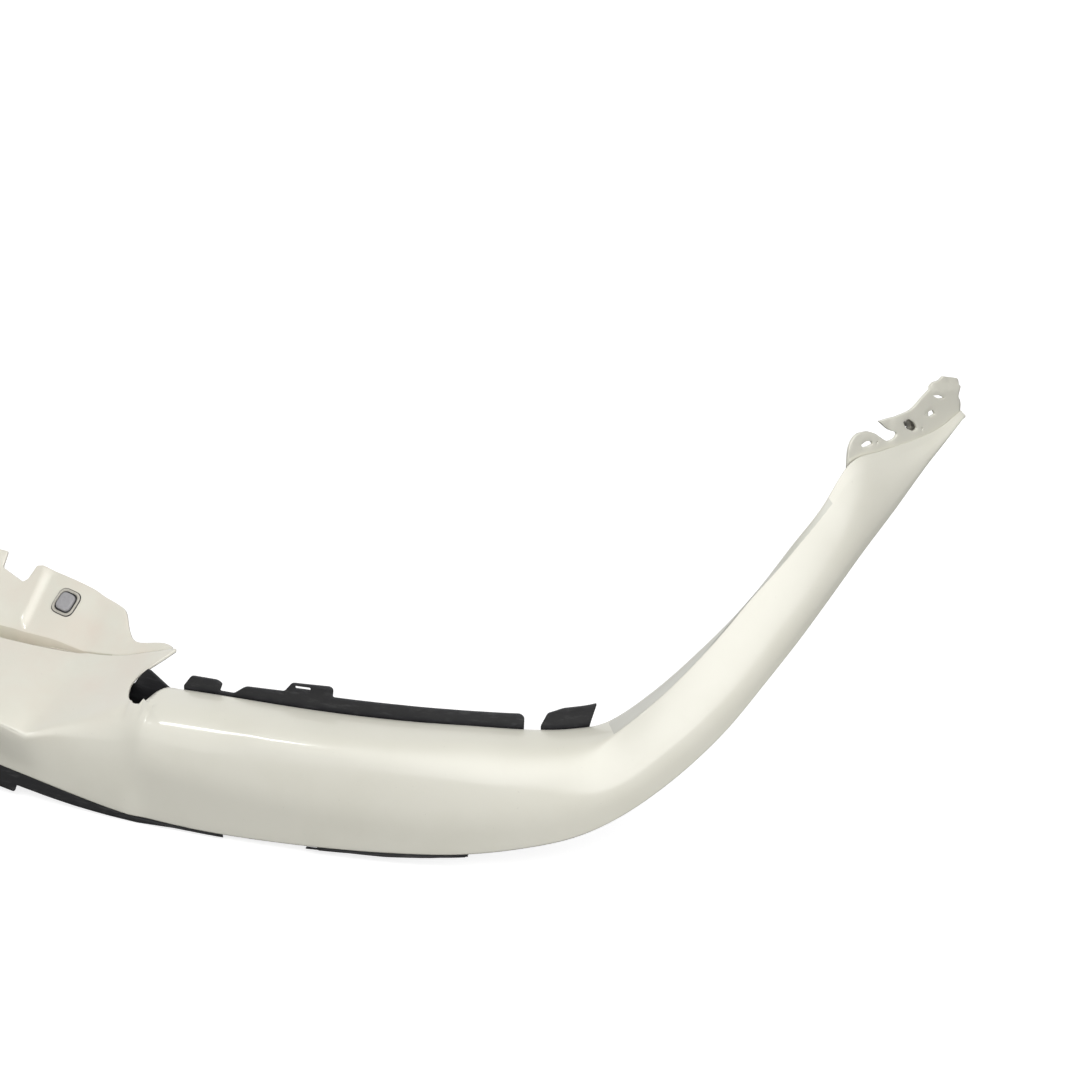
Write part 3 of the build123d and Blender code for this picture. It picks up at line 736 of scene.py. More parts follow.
def shrunk(loop, amount):
    """A counter-clockwise loop moved to its left by an amount, with limited mitres."""
    normals = []
    for d in (loop - np.roll(loop, 1, axis=0), np.roll(loop, -1, axis=0) - loop):
        normals.append(np.stack([-d[:, 1], d[:, 0]], -1) / (np.hypot(*d.T)[:, None] + 1e-12))
    bisector = normals[0] + normals[1]
    scale = np.maximum(1 + np.sum(normals[0] * normals[1], axis=1), 0.5)[:, None]
    return loop + amount * bisector / scale


def rounded_loop(points, radius=2.0, turns=3):
    """A closed loop with its corners cut round; a point may carry its own radius."""
    points = [tuple(p) for p in points]
    result = []
    for i, point in enumerate(points):
        here = np.array(point[:2], float)
        before = np.array(points[i - 1][:2], float)
        after = np.array(points[(i + 1) % len(points)][:2], float)
        own = point[2] if len(point) > 2 else radius
        if own <= 0:
            result.append(here)
            continue
        back, ahead = before - here, after - here
        first = here + back * min(own / np.hypot(*back), 0.49)
        last = here + ahead * min(own / np.hypot(*ahead), 0.49)
        for t in np.linspace(0, 1, turns + 1):
            result.append((1 - t) ** 2 * first + 2 * t * (1 - t) * here + t * t * last)
    return np.array(result)


def divided(loop, longest, rows=()):
    """The loop with points added where it is long or crosses one of the rows."""
    result = []
    for a, b in zip(loop, np.roll(loop, -1, axis=0)):
        result.append(a)
        length = float(np.hypot(*(b - a)))
        shares = []
        if length > longest:
            shares = list(np.arange(1, int(length // longest) + 1) * longest / length)
        if abs(b[1] - a[1]) > 1e-6:
            shares = [(row - a[1]) / (b[1] - a[1]) for row in rows] + shares
        kept = []
        for share in shares:
            if 0 < share < 1 and all(abs(share - k) * length > 1.2 for k in kept + [0, 1]):
                kept.append(share)
        result += [a + share * (b - a) for share in sorted(kept)]
    return np.array(result)


def margin_from(points, loop):
    """Distance of points from a closed loop."""
    closed = np.vstack([loop, loop[:1]])
    best = np.full(len(points), 1e9)
    for a, b in zip(closed[:-1], closed[1:]):
        along = b - a
        t = np.clip(((points - a) @ along) / max(along @ along, 1e-12), 0, 1)[:, None]
        best = np.minimum(best, np.hypot(*(points - a - t * along).T))
    return best


SHARP_ANGLE = 50.0
EDGE_CLEARANCE = 1.6      # from a plate's edge to the nearest point of its grid
EXTRA_CLEARANCE = 3.0     # from a point given by name to the nearest point of the grid


def ring_faces(rings, count, closed):
    """Faces between rings of points, and back to the first ring where they close."""
    faces = []
    for k in range(rings - 1 + closed):
        after = (k + 1) % rings
        for i in range(count):
            j = (i + 1) % count
            faces.append((k * count + i, k * count + j, after * count + j, after * count + i))
    return faces


class Builder:
    """Collects vertices and faces of one mesh."""

    def __init__(self):
        self.verts, self.faces, self.kinds, self.count = [], [], [], 0

    def add(self, verts, faces, kinds=None):
        """More vertices, faces numbered from their first, and the faces' materials."""
        self.verts.append(np.asarray(verts, float))
        self.faces += [tuple(int(i) + self.count for i in face) for face in faces]
        self.kinds += kinds or [0] * len(faces)
        self.count += len(verts)

    def plate(self, surface, outline, holes, columns, rows, wall, rim=RIM, extra=None, longest=6.0,
              back_kind=0, kind_of=None):
        """A thin plate over an unrolled surface, with holes and rounded edges."""
        loops = []
        for i, loop in enumerate([outline] + list(holes)):
            loop = divided(np.asarray(loop, float), longest, rows if i == 0 else ())
            if (loop_area(loop) > 0) != (i == 0):
                loop = loop[::-1]
            loops.append(loop)
        face_loops = [shrunk(loop, rim) for loop in loops]
        grid = np.stack(np.meshgrid(columns, rows), -1).reshape(-1, 2)
        keep = within(grid, face_loops)
        for loop in face_loops:
            keep &= margin_from(grid, loop) > EDGE_CLEARANCE
        if extra is not None:
            gaps = np.min(np.hypot(*(grid[:, None] - extra[None]).transpose(2, 0, 1)), axis=1)
            grid = np.vstack([grid, extra])
            keep = np.r_[keep & (gaps > EXTRA_CLEARANCE), [True] * len(extra)]
        grid = grid[keep]
        flat = np.vstack(face_loops + [grid])
        edges, start = [], 0
        for loop in face_loops:
            edges += [(start + i, start + (i + 1) % len(loop)) for i in range(len(loop))]
            start += len(loop)
        points, _, triangles, origin, _, _ = delaunay_2d_cdt([tuple(p) for p in flat], edges, [], 0, 1e-4)
        points = np.array([tuple(p) for p in points])
        renumber = np.zeros(len(flat), int)
        for new, olds in enumerate(origin):
            for old in olds:
                renumber[old] = new
        triangles = np.array([t for t in triangles if len(t) == 3])
        triangles = triangles[within(points[triangles].mean(axis=1), face_loops)]
        used = np.union1d(triangles, renumber[:sum(map(len, loops))])
        compact = np.full(len(points), -1)
        compact[used] = np.arange(len(used))
        size = len(used)
        sheets = [surface(points[used], 0.0), surface(points[used], 1.0)]
        faces = [tuple(compact[t]) for t in triangles]
        kinds = list(kind_of(points[triangles].mean(axis=1))) if kind_of else [0] * len(faces)
        faces += [tuple(compact[t][::-1] + size) for t in triangles]
        kinds += [back_kind] * (len(faces) - len(kinds))
        start, total = 0, 2 * size
        part = rim / wall
        for loop, face_loop in zip(loops, face_loops):
            ids = compact[renumber[start:start + len(loop)]]
            rings = [ids]
            for inward, deep in ((0.3, 0.3 * part), (0, part), (0, 1 - part), (0.3, 1 - 0.3 * part)):
                sheets.append(surface(loop + inward * (face_loop - loop), deep))
                rings.append(np.arange(len(loop)) + total)
                total += len(loop)
            rings.append(ids + size)
            for number, (a, b) in enumerate(zip(rings[:-1], rings[1:])):
                for i in range(len(loop)):
                    j = (i + 1) % len(loop)
                    faces.append((a[i], b[i], b[j], a[j]))
                    kinds.append(0 if number < 3 else back_kind)
            start += len(loop)
        self.add(np.vstack(sheets), faces, kinds)

    def tube(self, start, end, outer, bore, sides=24):
        """A tube: its outer wall, a softened ring at the start, its bore and a flat ring at the end."""
        direction = (end - start) / np.linalg.norm(end - start)
        helper = np.array((1.0, 0, 0)) if abs(direction[0]) < 0.8 else np.array((0, 1.0, 0))
        u = np.cross(direction, helper)
        u /= np.linalg.norm(u)
        v = np.cross(direction, u)
        turn = np.linspace(0, 2 * pi, sides, endpoint=False)[:, None]
        circle = np.cos(turn) * u + np.sin(turn) * v
        soft = 0.3
        shape = [(end, outer), (start + direction * soft, outer), (start, outer - soft),
                 (start, bore + soft), (start + direction * soft, bore), (end, bore)]
        rings = [place + radius * circle for place, radius in shape]
        self.add(np.vstack(rings) * MM, ring_faces(len(rings), sides, True))

    def finish(self, name, materials, slot, body="cover", replaces=()):
        """The piece as an object, with outward normals and sharp edges, handed to the frame."""
        mesh = bpy.data.meshes.new(name)
        mesh.from_pydata(np.vstack(self.verts).tolist(), [], self.faces)
        for material in materials:
            mesh.materials.append(material)
        mesh.polygons.foreach_set("material_index", self.kinds)
        mesh.validate()
        piece = bpy.data.objects.new(name, mesh)
        bpy.context.scene.collection.objects.link(piece)
        bpy.context.view_layer.objects.active = piece
        bpy.ops.object.select_all(action="DESELECT")
        piece.select_set(True)
        bpy.ops.object.mode_set(mode="EDIT")
        bpy.ops.mesh.select_all(action="SELECT")
        bpy.ops.mesh.normals_make_consistent(inside=False)
        bpy.ops.object.mode_set(mode="OBJECT")
        mesh.shade_smooth()
        mesh.set_sharp_from_angle(angle=radians(SHARP_ANGLE))
        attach(piece, body)
        if replaces:
            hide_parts(*replaces)


def circle(centre, width, turns=8):
    """A round hole's loop, made of two half turns."""
    angles = [first + pi * k / turns for first in (-pi / 2, pi / 2) for k in range(turns)]
    return np.array([(centre[0] + width / 2 * cos(a), centre[1] + width / 2 * sin(a)) for a in angles])


def rectangle(width, height, corner):
    """A rounded rectangle about the middle."""
    x, y = width / 2, height / 2
    return rounded_loop([(-x, -y, corner), (x, -y, corner), (x, y, corner), (-x, y, corner)], turns=6)


# ---- bumper skin ---------------------------------------------------------------------------------
# The free edge of the hood flange, the horn and the slot, from above. A third value rounds a corner.
STRIKER_NOTCH = [(30, 134, 3), (38, 142, 3)]
LATCH_NOTCH = [(134, 156, 2), (136, 144, 2), (163, 138, 1.5), (167, 141, 1.5), (170, 152, 1)]
HORN_OUTLINE = [
    (176, 153.5, 1.5), (237, 149, 6), (268, 143, 12), (277, 140, 6), (289, 126, 8), (301, 119, 9),
    (325, 123, 10), (337, 122, 5), (348, 116, 1.2), (341, 104, 8), (334, 94, 6), (329, 84, 5), (328, 74, 5),
    (332, 64, 5), (337, 56, 4), (343, 50.5, 4), (350, 48, 3),
]
BAND_OUTLINE = [(355, 47, 1.5), (356.5, 52, 2), (357, 62, 5), (357.5, 72, 3)]
# Stations of the fasteners, then their insets.
BRACKET_SCREWS = [455, 512, 600, 690, 752, 778]
RETAINER_SCREWS = [60, 215]
TRIM_SCREWS = [560, 640]
RIVETS = [70, 190]
SCREW_INSET = 42.0
SHELF_DROP = 12.0         # from the band's top edge down to a bracket's shelf
RETAINER_INSET = 50.0
BOSS_RADIUS = 4.5
LIP_HOLE_INSET = 13.0
SCREW_HOLE, RIVET_HOLE = 3.2, 6.4      # widths
CAP_STATION, CAP_HEIGHT, CAP_WIDTH, CAP_RISE, CAP_CORNER, CAP_GAP = -520.0, 49.0, 60.0, 52.0, 10.0, 0.8


def plan_place(across, back):
    """The surface's own station and the place across of a point of the left half seen from above."""
    true_station, inset = station_of(across, back)
    station = true_station
    for _ in range(12):
        place = place_of_inset(station, inset)
        lean = (1 - band_share(station, place)) * horn_lean(station, place)
        station += 0.6 * (true_station - float(lean) - station)
    return station, place_of_inset(station, inset)


def band_place(across, back):
    """The same for a point of the band beside the slot."""
    station, inset = station_of(across, back)
    points = look_up_in(BAND_STATIONS, BAND_TABLE[:, 0], np.full(len(ROW_PLACE), station), ROW_PLACE)
    return station, place_in(points, inset)


def skin_outline():
    """The left half's edge on the unrolled skin, then its mirror image."""
    top_edge, flange_end = ROW_PLACE[HOOD_ROW], ROW_PLACE[-1]
    half = [(*plan_place(x, y), r) for x, y, r in STRIKER_NOTCH]
    half.append((station_of(38, 155)[0], flange_end, 2))
    for x, y, r in LATCH_NOTCH + HORN_OUTLINE:
        station, place = plan_place(x, y)
        half.append((station, min(place, flange_end), r))
    half += [(*band_place(x, y), r) for x, y, r in BAND_OUTLINE]
    half.append((station_of(362.5, 77)[0], top_edge, 3))
    half += [(station, top_edge, 0) for station in np.arange(388, PLAN_LENGTH - 6, 12.0)]
    end = PLAN_LENGTH - 2.6
    half += [(end, top_edge, 2), (end, 0, 2)]
    half += [(station, 0, 0) for station in np.arange(PLAN_LENGTH - 14, 6, -12.0)]
    return rounded_loop(half + [(-s, v, r) for s, v, r in half[::-1]])


def cap_loop(width, rise, corner):
    """A rounded rectangle on the right side's front wall, on the unrolled skin."""
    loop = divided(rectangle(width, rise, corner), 6.0)
    return np.array([(CAP_STATION + x, place_of_height(CAP_STATION + x, CAP_HEIGHT + y)) for x, y in loop])


def lip_hole(station, width):
    """A hole through the lower lip."""
    at = (LIP_DEPTH - LIP_HOLE_INSET) / LIP_DEPTH * ROW_PLACE[LEG_STARTS[1]]
    return circle((station, at), width)


def skin_columns():
    """Stations of the grid: closer where the flange steps."""
    plain = np.arange(4, PLAN_LENGTH, 8.0)
    plain = plain[(plain < 174) | (plain > 208)]
    half = np.sort(np.r_[plain, np.arange(175, 208, 2.5)])
    return np.r_[-half[::-1], half]


def beside_slot():
    """Extra points along the fold beside each slot."""
    points = []
    for away in (2.0, 3.6, 5.0, 6.5, 9.0):
        for back in np.arange(42 - away * 0.4, 84, 3.0):
            across = np.interp(back, SLOT_SIDE[:, 1], SLOT_SIDE[:, 0]) + away
            points.append(band_place(across, back))
    left = np.array([p for p in points if p[1] < ROW_PLACE[HOOD_ROW] - 2])
    return np.vstack([left, left * (-1, 1)])


def roof_under(station, inset):
    """Height of the skin's inner face over a point behind the shoulder or brow."""
    points = section_at(1, station)
    part = slice(BROW_ROW, HOOD_ROW + 1)
    return float(np.interp(inset, points[part, 0], points[part, 1]))


def upright_tube(builder, station, inset, foot, top):
    """A screw boss under the skin, from its foot up to a height."""
    (x, y), side = across_back(np.array(float(abs(station))), inset), np.sign(station)
    axis = np.array((side * float(x), float(y) + FRONT_Y, DATUM_Z))
    builder.tube(axis + (0, 0, foot), axis + (0, 0, top), BOSS_RADIUS, SCREW_HOLE / 2)


def wing_station(back):
    """The station of the wing flange at a distance back from the nose."""
    stations = np.arange(1060, PLAN_LENGTH, 2.0)
    _, backs = across_back(stations, 10.0)
    return float(np.interp(back, backs, stations))


# The wing flange from the side: distance back from the nose and height. A third value rounds a corner.
WING_OUTLINE = [
    (421, 284, 1), (421.5, 305, 5), (427, 313, 5), (436, 315.5, 4), (451, 312.5, 5), (464, 306, 6),
    (476, 297, 7), (486, 291, 4), (497, 292, 3), (499, 296, 3), (485, 303, 5), (468, 316.5, 1.5),
    (495, 312.5, 8), (524, 310, 8), (538, 315, 6), (558, 320.5, 4), (566, 322.8, 2), (577, 321, 2),
    (584, 322.8, 1), (615, 311, 5), (617, 304, 4), (611, 295, 3), (616, 290, 2), (618.2, 286, 2),
    (618.2, 272, 1), (570, 268, 0), (500, 273, 0),
]
SCREW_OVAL = [
    (508, 303.5, 3), (518, 303, 4), (529, 296, 4), (535.5, 288, 3), (528, 287.5, 4), (514, 295.5, 4),
]
SNAP_WINDOW = [(547, 298, 0.5), (559, 298, 0.5), (564, 296, 0.8), (567, 292, 0.5), (558, 292, 0.8)]
SNAP_TONGUE = [(546, 299, 0.5), (557.5, 298.6, 0.5), (559, 291.2, 0.5), (553, 290.5, 0.5)]
LOCATING_SLOT = [(562, 311.5, 0.5), (574, 308, 3), (584, 302.5, 0.5), (577, 303.6, 3), (568, 307.3, 3)]
CLIP_HOLE = [
    (441, 302.5, 1), (449, 303.5, 1.5), (457, 301, 1), (460, 297.5, 1), (451, 297.5, 1.5), (443, 299.5, 1),
]
WING_PIPS = [(544, 285), (467, 297)]
PIP_WIDTH = 2.2


def wing_inset(station):
    """Inset of the wing flange, just behind the skin's top edge."""
    table = [row_at(BAND_ROWS, s)[4] for s in np.atleast_1d(station)]
    return np.array(table) + 1.0


WING_STATIONS = np.arange(1060, PLAN_LENGTH + 1, 4.0)
WING_INSETS = wing_inset(WING_STATIONS)


def wing_point(points, depth):
    """Frame points of the left wing flange, for stations and heights."""
    station, height = points[:, 0], points[:, 1]
    inset = np.interp(station, WING_STATIONS, WING_INSETS)
    _, back = across_back(station, inset)
    step = smoothstep(height + 0.27 * (back - 561), 318, 320.5) * smoothstep(back, 548, 556)
    front = smoothstep(back, 487, 495)
    inset = inset + 2.4 * step + 1.2 * (1 - front)
    return to_frame(station, inset + np.asarray(depth) * TRIM_WALL, height)


def on_side(surface, side):
    """A surface of the left side, or its mirror image."""
    return lambda points, depth: surface(points, depth) * (side, 1, 1)


def wing_loop(points):
    """A side outline as stations and heights."""
    return rounded_loop([(wing_station(y), z, r) for y, z, r in points])


def wing_holes():
    """Clip slot, screw oval, snap window, locating slot and two small pips."""
    holes = [wing_loop(loop) for loop in (CLIP_HOLE, SCREW_OVAL, SNAP_WINDOW, LOCATING_SLOT)]
    return holes + [circle((wing_station(back), height), PIP_WIDTH, 6) for back, height in WING_PIPS]


def add_wing_flange(builder, surface):
    """The upright flange that the fender's edge lies against."""
    columns, rows = np.arange(1096, PLAN_LENGTH, 5.0), np.arange(276, 324, 4.0)
    builder.plate(surface, wing_loop(WING_OUTLINE), wing_holes(), columns, rows, TRIM_WALL, 0.6,
                  longest=4.0)

    def tongue(points, depth):
        """The snap tongue stands in its window, bent a little inward."""
        inward = 0.05 * (points[:, 0] - wing_station(546))
        return surface(points, 0.3 + 0.4 * np.asarray(depth) + inward)

    builder.plate(tongue, wing_loop(SNAP_TONGUE), [], [], [], 1.0, 0.2, longest=3.0)


TAB_ACROSS, TAB_BACK, TAB_WIDTH, TAB_DEPTH = 75.0, 164.0, 44.0, 34.0
TAB_HOLE, TAB_HOLE_BACK = 7.0, 166.0


def add_hood_tab(builder, side):
    """A level tab with the hole that fastens the cover over the grille."""
    height = float(row_at(NOSE_ROWS, 70)[6] + FLANGE_SLOPE * (FLANGE_REACH - 85) - 1)
    x, y = side * TAB_ACROSS, TAB_BACK

    def level(points, depth):
        flat = np.stack([points[:, 0], points[:, 1] + FRONT_Y], -1)
        tall = np.full(len(points), height + DATUM_Z) - np.asarray(depth) * SKIN_WALL
        return np.column_stack([flat, tall]) * MM

    w, d = TAB_WIDTH / 2, TAB_DEPTH / 2
    corners = [(x - w, y - d, 6), (x + w, y - d, 6), (x + w, y + d, 6), (x - w, y + d, 6)]
    hole = circle((x, TAB_HOLE_BACK), TAB_HOLE, 10)
    columns, rows = np.arange(x - w + 3, x + w, 6.0), np.arange(y - d + 3, y + d, 6.0)
    builder.plate(level, rounded_loop(corners, turns=4), [hole], columns, rows, SKIN_WALL)


SEAT_END, LEDGE_START, LEDGE_END = 290, 806, 1060


def finish_kinds(middles):
    """2 on the riser that the hood's seal lies against, 3 on the ledge of the turn, both painted darker as
    shade; 0 elsewhere.
    """
    station, place = np.abs(middles[:, 0]), middles[:, 1]
    foot, crest = ROW_PLACE[LEG_STARTS[5]] - 0.2, ROW_PLACE[RISER_ROW] - 0.5
    riser = (place > foot) & (place < crest) & (station < SEAT_END)
    ledge = (place > ROW_PLACE[BROW_ROW] + 0.3) & (station > LEDGE_START) & (station < LEDGE_END)
    return np.where(riser, 2, np.where(ledge, 3, 0))


def make_skin():
    """The whole skin with its screw bosses, hood tabs and wing flanges."""
    builder = Builder()
    holes = [cap_loop(CAP_WIDTH + 2 * CAP_GAP, CAP_RISE + 2 * CAP_GAP, CAP_CORNER + CAP_GAP)]
    for side in (-1, 1):
        holes += [lip_hole(side * s, RIVET_HOLE) for s in RIVETS]
        holes += [lip_hole(side * s, SCREW_HOLE) for s in TRIM_SCREWS]
    builder.plate(skin_point, skin_outline(), holes, skin_columns(), ROW_PLACE[1:-1], SKIN_WALL,
                  extra=beside_slot(), back_kind=1, kind_of=finish_kinds)
    for side in (-1, 1):
        for station in BRACKET_SCREWS:
            shelf = row_at(BAND_ROWS, station)[5] - SHELF_DROP + TRIM_WALL + 1.2
            upright_tube(builder, side * station, SCREW_INSET, shelf, roof_under(station, SCREW_INSET) + 1)
        for station in RETAINER_SCREWS:
            foot = nose_row(station)[2]
            top = roof_under(station, RETAINER_INSET)
            upright_tube(builder, side * station, RETAINER_INSET, min(foot, top - 12), top + 1)
        add_hood_tab(builder, side)
    for side in (1, -1):
        add_wing_flange(builder, on_side(wing_point, side))
    # The third material is painted shade on the hood seal's riser, the fourth painted shade on the ledge of
    # the turn.
    materials = [PAINT, BACKING, SEAT_PAINTED_SHADE, LEDGE_PAINTED_SHADE]
    builder.finish("skin", materials, "white_paint", replaces=["bumper_skin"])


make_skin()

# ---- tow eye cover -------------------------------------------------------------------------------


ARM_WALL = 1.6
ARM_OUTLINE = [(-1, 43, 1), (8, 43, 2), (9, 49, 2), (8, 55, 2), (-1, 55, 1)]


def make_tow_cover():
    """A cap of the front wall's own surface, with two snap arms behind it."""
    builder = Builder()
    loop = cap_loop(CAP_WIDTH, CAP_RISE, CAP_CORNER)
    columns = np.arange(CAP_STATION - CAP_WIDTH / 2 + 3, CAP_STATION + CAP_WIDTH / 2, 6.0)
    builder.plate(skin_point, loop, [], columns, ROW_PLACE, SKIN_WALL, back_kind=1)
    for side in (-1, 1):
        station = CAP_STATION + side * (CAP_WIDTH / 2 - 5)

        def arm(points, depth, station=station):
            along = station - side * np.asarray(depth) * ARM_WALL + 0 * points[:, 0]
            return to_frame(along, points[:, 0], points[:, 1])

        place = np.array([place_of_height(station, CAP_HEIGHT)])
        root = look_up(1, np.array([station]), place)[1][0, 0]
        outline = rounded_loop([(root + x, z, r) for x, z, r in ARM_OUTLINE])
        columns = np.arange(root + 1, root + 8, 3.0)
        builder.plate(arm, outline, [], columns, np.arange(46, 54, 3.0), ARM_WALL, 0.4)
    builder.finish("tow_eye_cap", [PAINT, BACKING], "white_paint", "tow_cap", ["tow_eye_cover"])


make_tow_cover()

# ---- black brackets and mouldings ------------------------------------------------------------------
SIDES = (("left", 1), ("right", -1))
RAIL_GAP = 2.5            # from the skin's top edge back to a bracket's wall
SCREW_CLEARANCE, RIVET_CLEARANCE = 4.4, 6.4      # widths of the holes that the fasteners pass through

# The brackets' walls: station and rise over the skin's top edge. A third value rounds a corner.
RAIL_OUTLINE = [
    (388, -9.5, 1), (388, 2, 1), (396, 12.5, 2.5), (422, 12, 2.5), (427, 9, 2), (424, 1.6, 1.5),
    (438, 1.4, 2), (450, 10, 3), (488, 11.5, 2), (496, 21, 2.5), (533, 22.5, 2.5), (536, 20, 2),
    (535, 12.4, 1.5), (600, 12.4, 5), (668, 11.6, 5), (717, 12.4, 2), (721, 9, 2), (720, -9.5, 1),
]
RAIL_SLOT = [(499, 16.2, 0.8), (499, 18.8, 0.8), (514, 19.0, 0.8), (514, 16.4, 0.8)]
CORNER_OUTLINE = [
    (737, -9.5, 1), (737, 1, 1), (744, 13.5, 2), (760, 18, 3), (794, 18.6, 1.5), (788, 3, 1),
    (784, -9.5, 1),
]


def top_edge_of(station):
    """Insets and heights of the skin's top edge at one or more stations."""
    rows = np.array([row_at(BAND_ROWS, abs(s))[4:6] for s in np.atleast_1d(station)])
    return rows[:, 0], rows[:, 1]


def rail_wall(points, depth):
    """Frame points of a bracket's wall, for stations and rises over the skin's top edge."""
    inset, height = top_edge_of(points[:, 0])
    return to_frame(points[:, 0], inset + RAIL_GAP + np.asarray(depth) * TRIM_WALL, height + points[:, 1])


def rail_shelf(points, depth):
    """Frame points of a bracket's shelf, for stations and distances forward of its wall."""
    inset, height = top_edge_of(points[:, 0])
    under = height - SHELF_DROP + TRIM_WALL - np.asarray(depth) * TRIM_WALL
    return to_frame(points[:, 0], inset + RAIL_GAP + 1.2 - points[:, 1], under)


def add_angle(builder, *parts):
    """A wall and a shelf, each given as its surface, outline and holes."""
    for surface, loop, holes in parts:
        low, high = loop.min(axis=0), loop.max(axis=0)
        columns, rows = np.arange(low[0] + 3, high[0], 8.0), np.arange(low[1] + 3, high[1], 4.0)
        builder.plate(surface, loop, holes, columns, rows, TRIM_WALL, 0.5)


GUSSET_WALL = 1.6


def add_gusset(builder, side, station):
    """A small web between a bracket's wall and its shelf."""
    drop = SHELF_DROP - TRIM_WALL

    def web(points, depth):
        inset, height = top_edge_of(np.full(len(points), float(station)))
        along = station + (np.asarray(depth) - 0.5) * GUSSET_WALL + 0 * points[:, 0]
        return to_frame(along, inset + RAIL_GAP + 0.8 - points[:, 0], height + points[:, 1])

    outline = rounded_loop([(0, -drop, 0.5), (12, -drop, 0.5), (3, -1.5, 2), (0, -1.5, 0.5)], turns=2)
    columns, rows = np.arange(2, 9, 3.0), np.arange(-drop + 2, -3, 3.0)
    builder.plate(on_side(web, side), outline, [], columns, rows, GUSSET_WALL, 0.4)


def make_bracket(name, side, outline, holes, screws, reach, gussets):
    """One bracket: its wall behind the top edge, its screwed shelf and the gussets between them."""
    builder = Builder()
    start, end = outline[0][0], outline[-1][0]
    shelf = [(start + 1, 0, 1), (start + 1, reach, 3), (end - 1, reach, 3), (end - 1, 0, 1)]
    shelf_holes = []
    for station in screws:
        forward = top_edge_of(station)[0][0] + RAIL_GAP + 1.2 - SCREW_INSET
        shelf_holes.append(circle((station, forward), SCREW_CLEARANCE))
    add_angle(builder, (on_side(rail_wall, side), rounded_loop(outline), holes),
              (on_side(rail_shelf, side), rounded_loop(shelf), shelf_holes))
    for station in gussets:
        add_gusset(builder, side, station)
    cad_name = name.replace("bracket_wall", "bracket")
    builder.finish(name, [BRACKET_BLACK], "black_bracket_plastic", replaces=[cad_name])


for side_name, side in SIDES:
    make_bracket(f"headlamp_bracket_wall_{side_name}", side, RAIL_OUTLINE, [rounded_loop(RAIL_SLOT)],
                 BRACKET_SCREWS[:4], 22.0, (474, 566, 634, 664))
    make_bracket(f"corner_bracket_wall_{side_name}", side, CORNER_OUTLINE, [], BRACKET_SCREWS[4:], 18.0,
                 (765,))

# Drop of the black moulding under the skin's edge at stations: a deep middle, then tapering.
MOULDING_DROPS = [
    (0, 24), (100, 24), (180, 24), (237, 23), (240, 15), (270, 14), (300, 12), (350, 7), (400, 2.2),
    (430, 1.4), (446, 0.6),
]
TRIM_DROPS = [(526, 0.5), (556, 1.4), (600, 3.0), (640, 2.2), (672, 0.5)]
EDGE_GAP = 0.4


def under_edge(station):
    """Height just under the skin's lower edge at each station."""
    return np.array([low_edge(s) for s in station]) - EDGE_GAP


def drop_point(web_inset):
    """The surface of a wall hanging under the skin's edge: stations and drops."""
    def surface(points, depth):
        inset = web_inset + np.asarray(depth) * TRIM_WALL
        return to_frame(points[:, 0], inset, under_edge(points[:, 0]) - points[:, 1])
    return surface


def shelf_point(web_inset):
    """The shelf above that wall: stations and distances inward."""
    def surface(points, depth):
        height = under_edge(points[:, 0]) - np.asarray(depth) * TRIM_WALL
        return to_frame(points[:, 0], web_inset + points[:, 1], height)
    return surface


def drop_loop(drops, full_width):
    """Outline of a hanging wall, on one side or over the full width."""
    bottom = [(s, d, 1.5) for s, d in drops]
    if full_width:
        bottom = [(-s, d, r) for s, d, r in bottom[:0:-1]] + bottom
    top = [(s, 0.6, 0) for s in np.arange(bottom[-1][0], bottom[0][0] - 1, -12.0)]
    return rounded_loop(bottom + top)


def shelf_loop(start, end, reach):
    """Outline of a shelf between two stations."""
    far = [(s, reach, 0) for s in np.arange(start + 2, end - 1, 12.0)]
    near = [(s, 1.2, 0) for s in np.arange(end - 2, start + 1, -12.0)]
    return rounded_loop(far + near)


def make_strip(name, node, side, inset, drops, reach, holes, hole_width, half_width=None):
    """A hanging wall and its shelf, on one side, or over the full width where half a width is given."""
    builder = Builder()
    ends = (-half_width, half_width) if half_width else (drops[0][0], drops[-1][0])
    under_holes = [circle((s, LIP_HOLE_INSET - inset), hole_width) for s in holes]
    add_angle(builder, (on_side(drop_point(inset), side), drop_loop(drops, bool(half_width)), []),
              (on_side(shelf_point(inset), side), shelf_loop(*ends, reach), under_holes))
    builder.finish(name, [MOULDING_BLACK], "black_moulding_plastic", replaces=[node])


make_strip("lower_moulding_strip", "lower_moulding", 1, 2.5, MOULDING_DROPS, 17.0,
           [s * k for s in (-1, 1) for k in RIVETS], RIVET_CLEARANCE, half_width=450)
for side_name, side in SIDES:
    make_strip(f"lower_trim_strip_{side_name}", f"lower_trim_{side_name}", side, 2.0, TRIM_DROPS, 17.5,
               TRIM_SCREWS, SCREW_CLEARANCE)

# ---- hood pads -----------------------------------------------------------------------------------
PAD_STATION, PAD_INSET = 223.0, 126.0
PAD_TILT = radians(-9)


def pad_frame():
    """Centre, two directions in the flange and its normal, in millimetres in the row frame."""
    middle = np.array([[PAD_STATION, place_of_inset(PAD_STATION, PAD_INSET)]])
    centre = skin_point(middle, 0.0)[0] / MM
    beside = skin_point(middle + (2.0, 0), 0.0)[0] / MM - centre
    uphill = skin_point(middle + (0, 2.0), 0.0)[0] / MM - centre
    normal = np.cross(beside, uphill)
    normal /= np.linalg.norm(normal)
    along = beside / np.linalg.norm(beside)
    return centre, along, np.cross(normal, along), normal


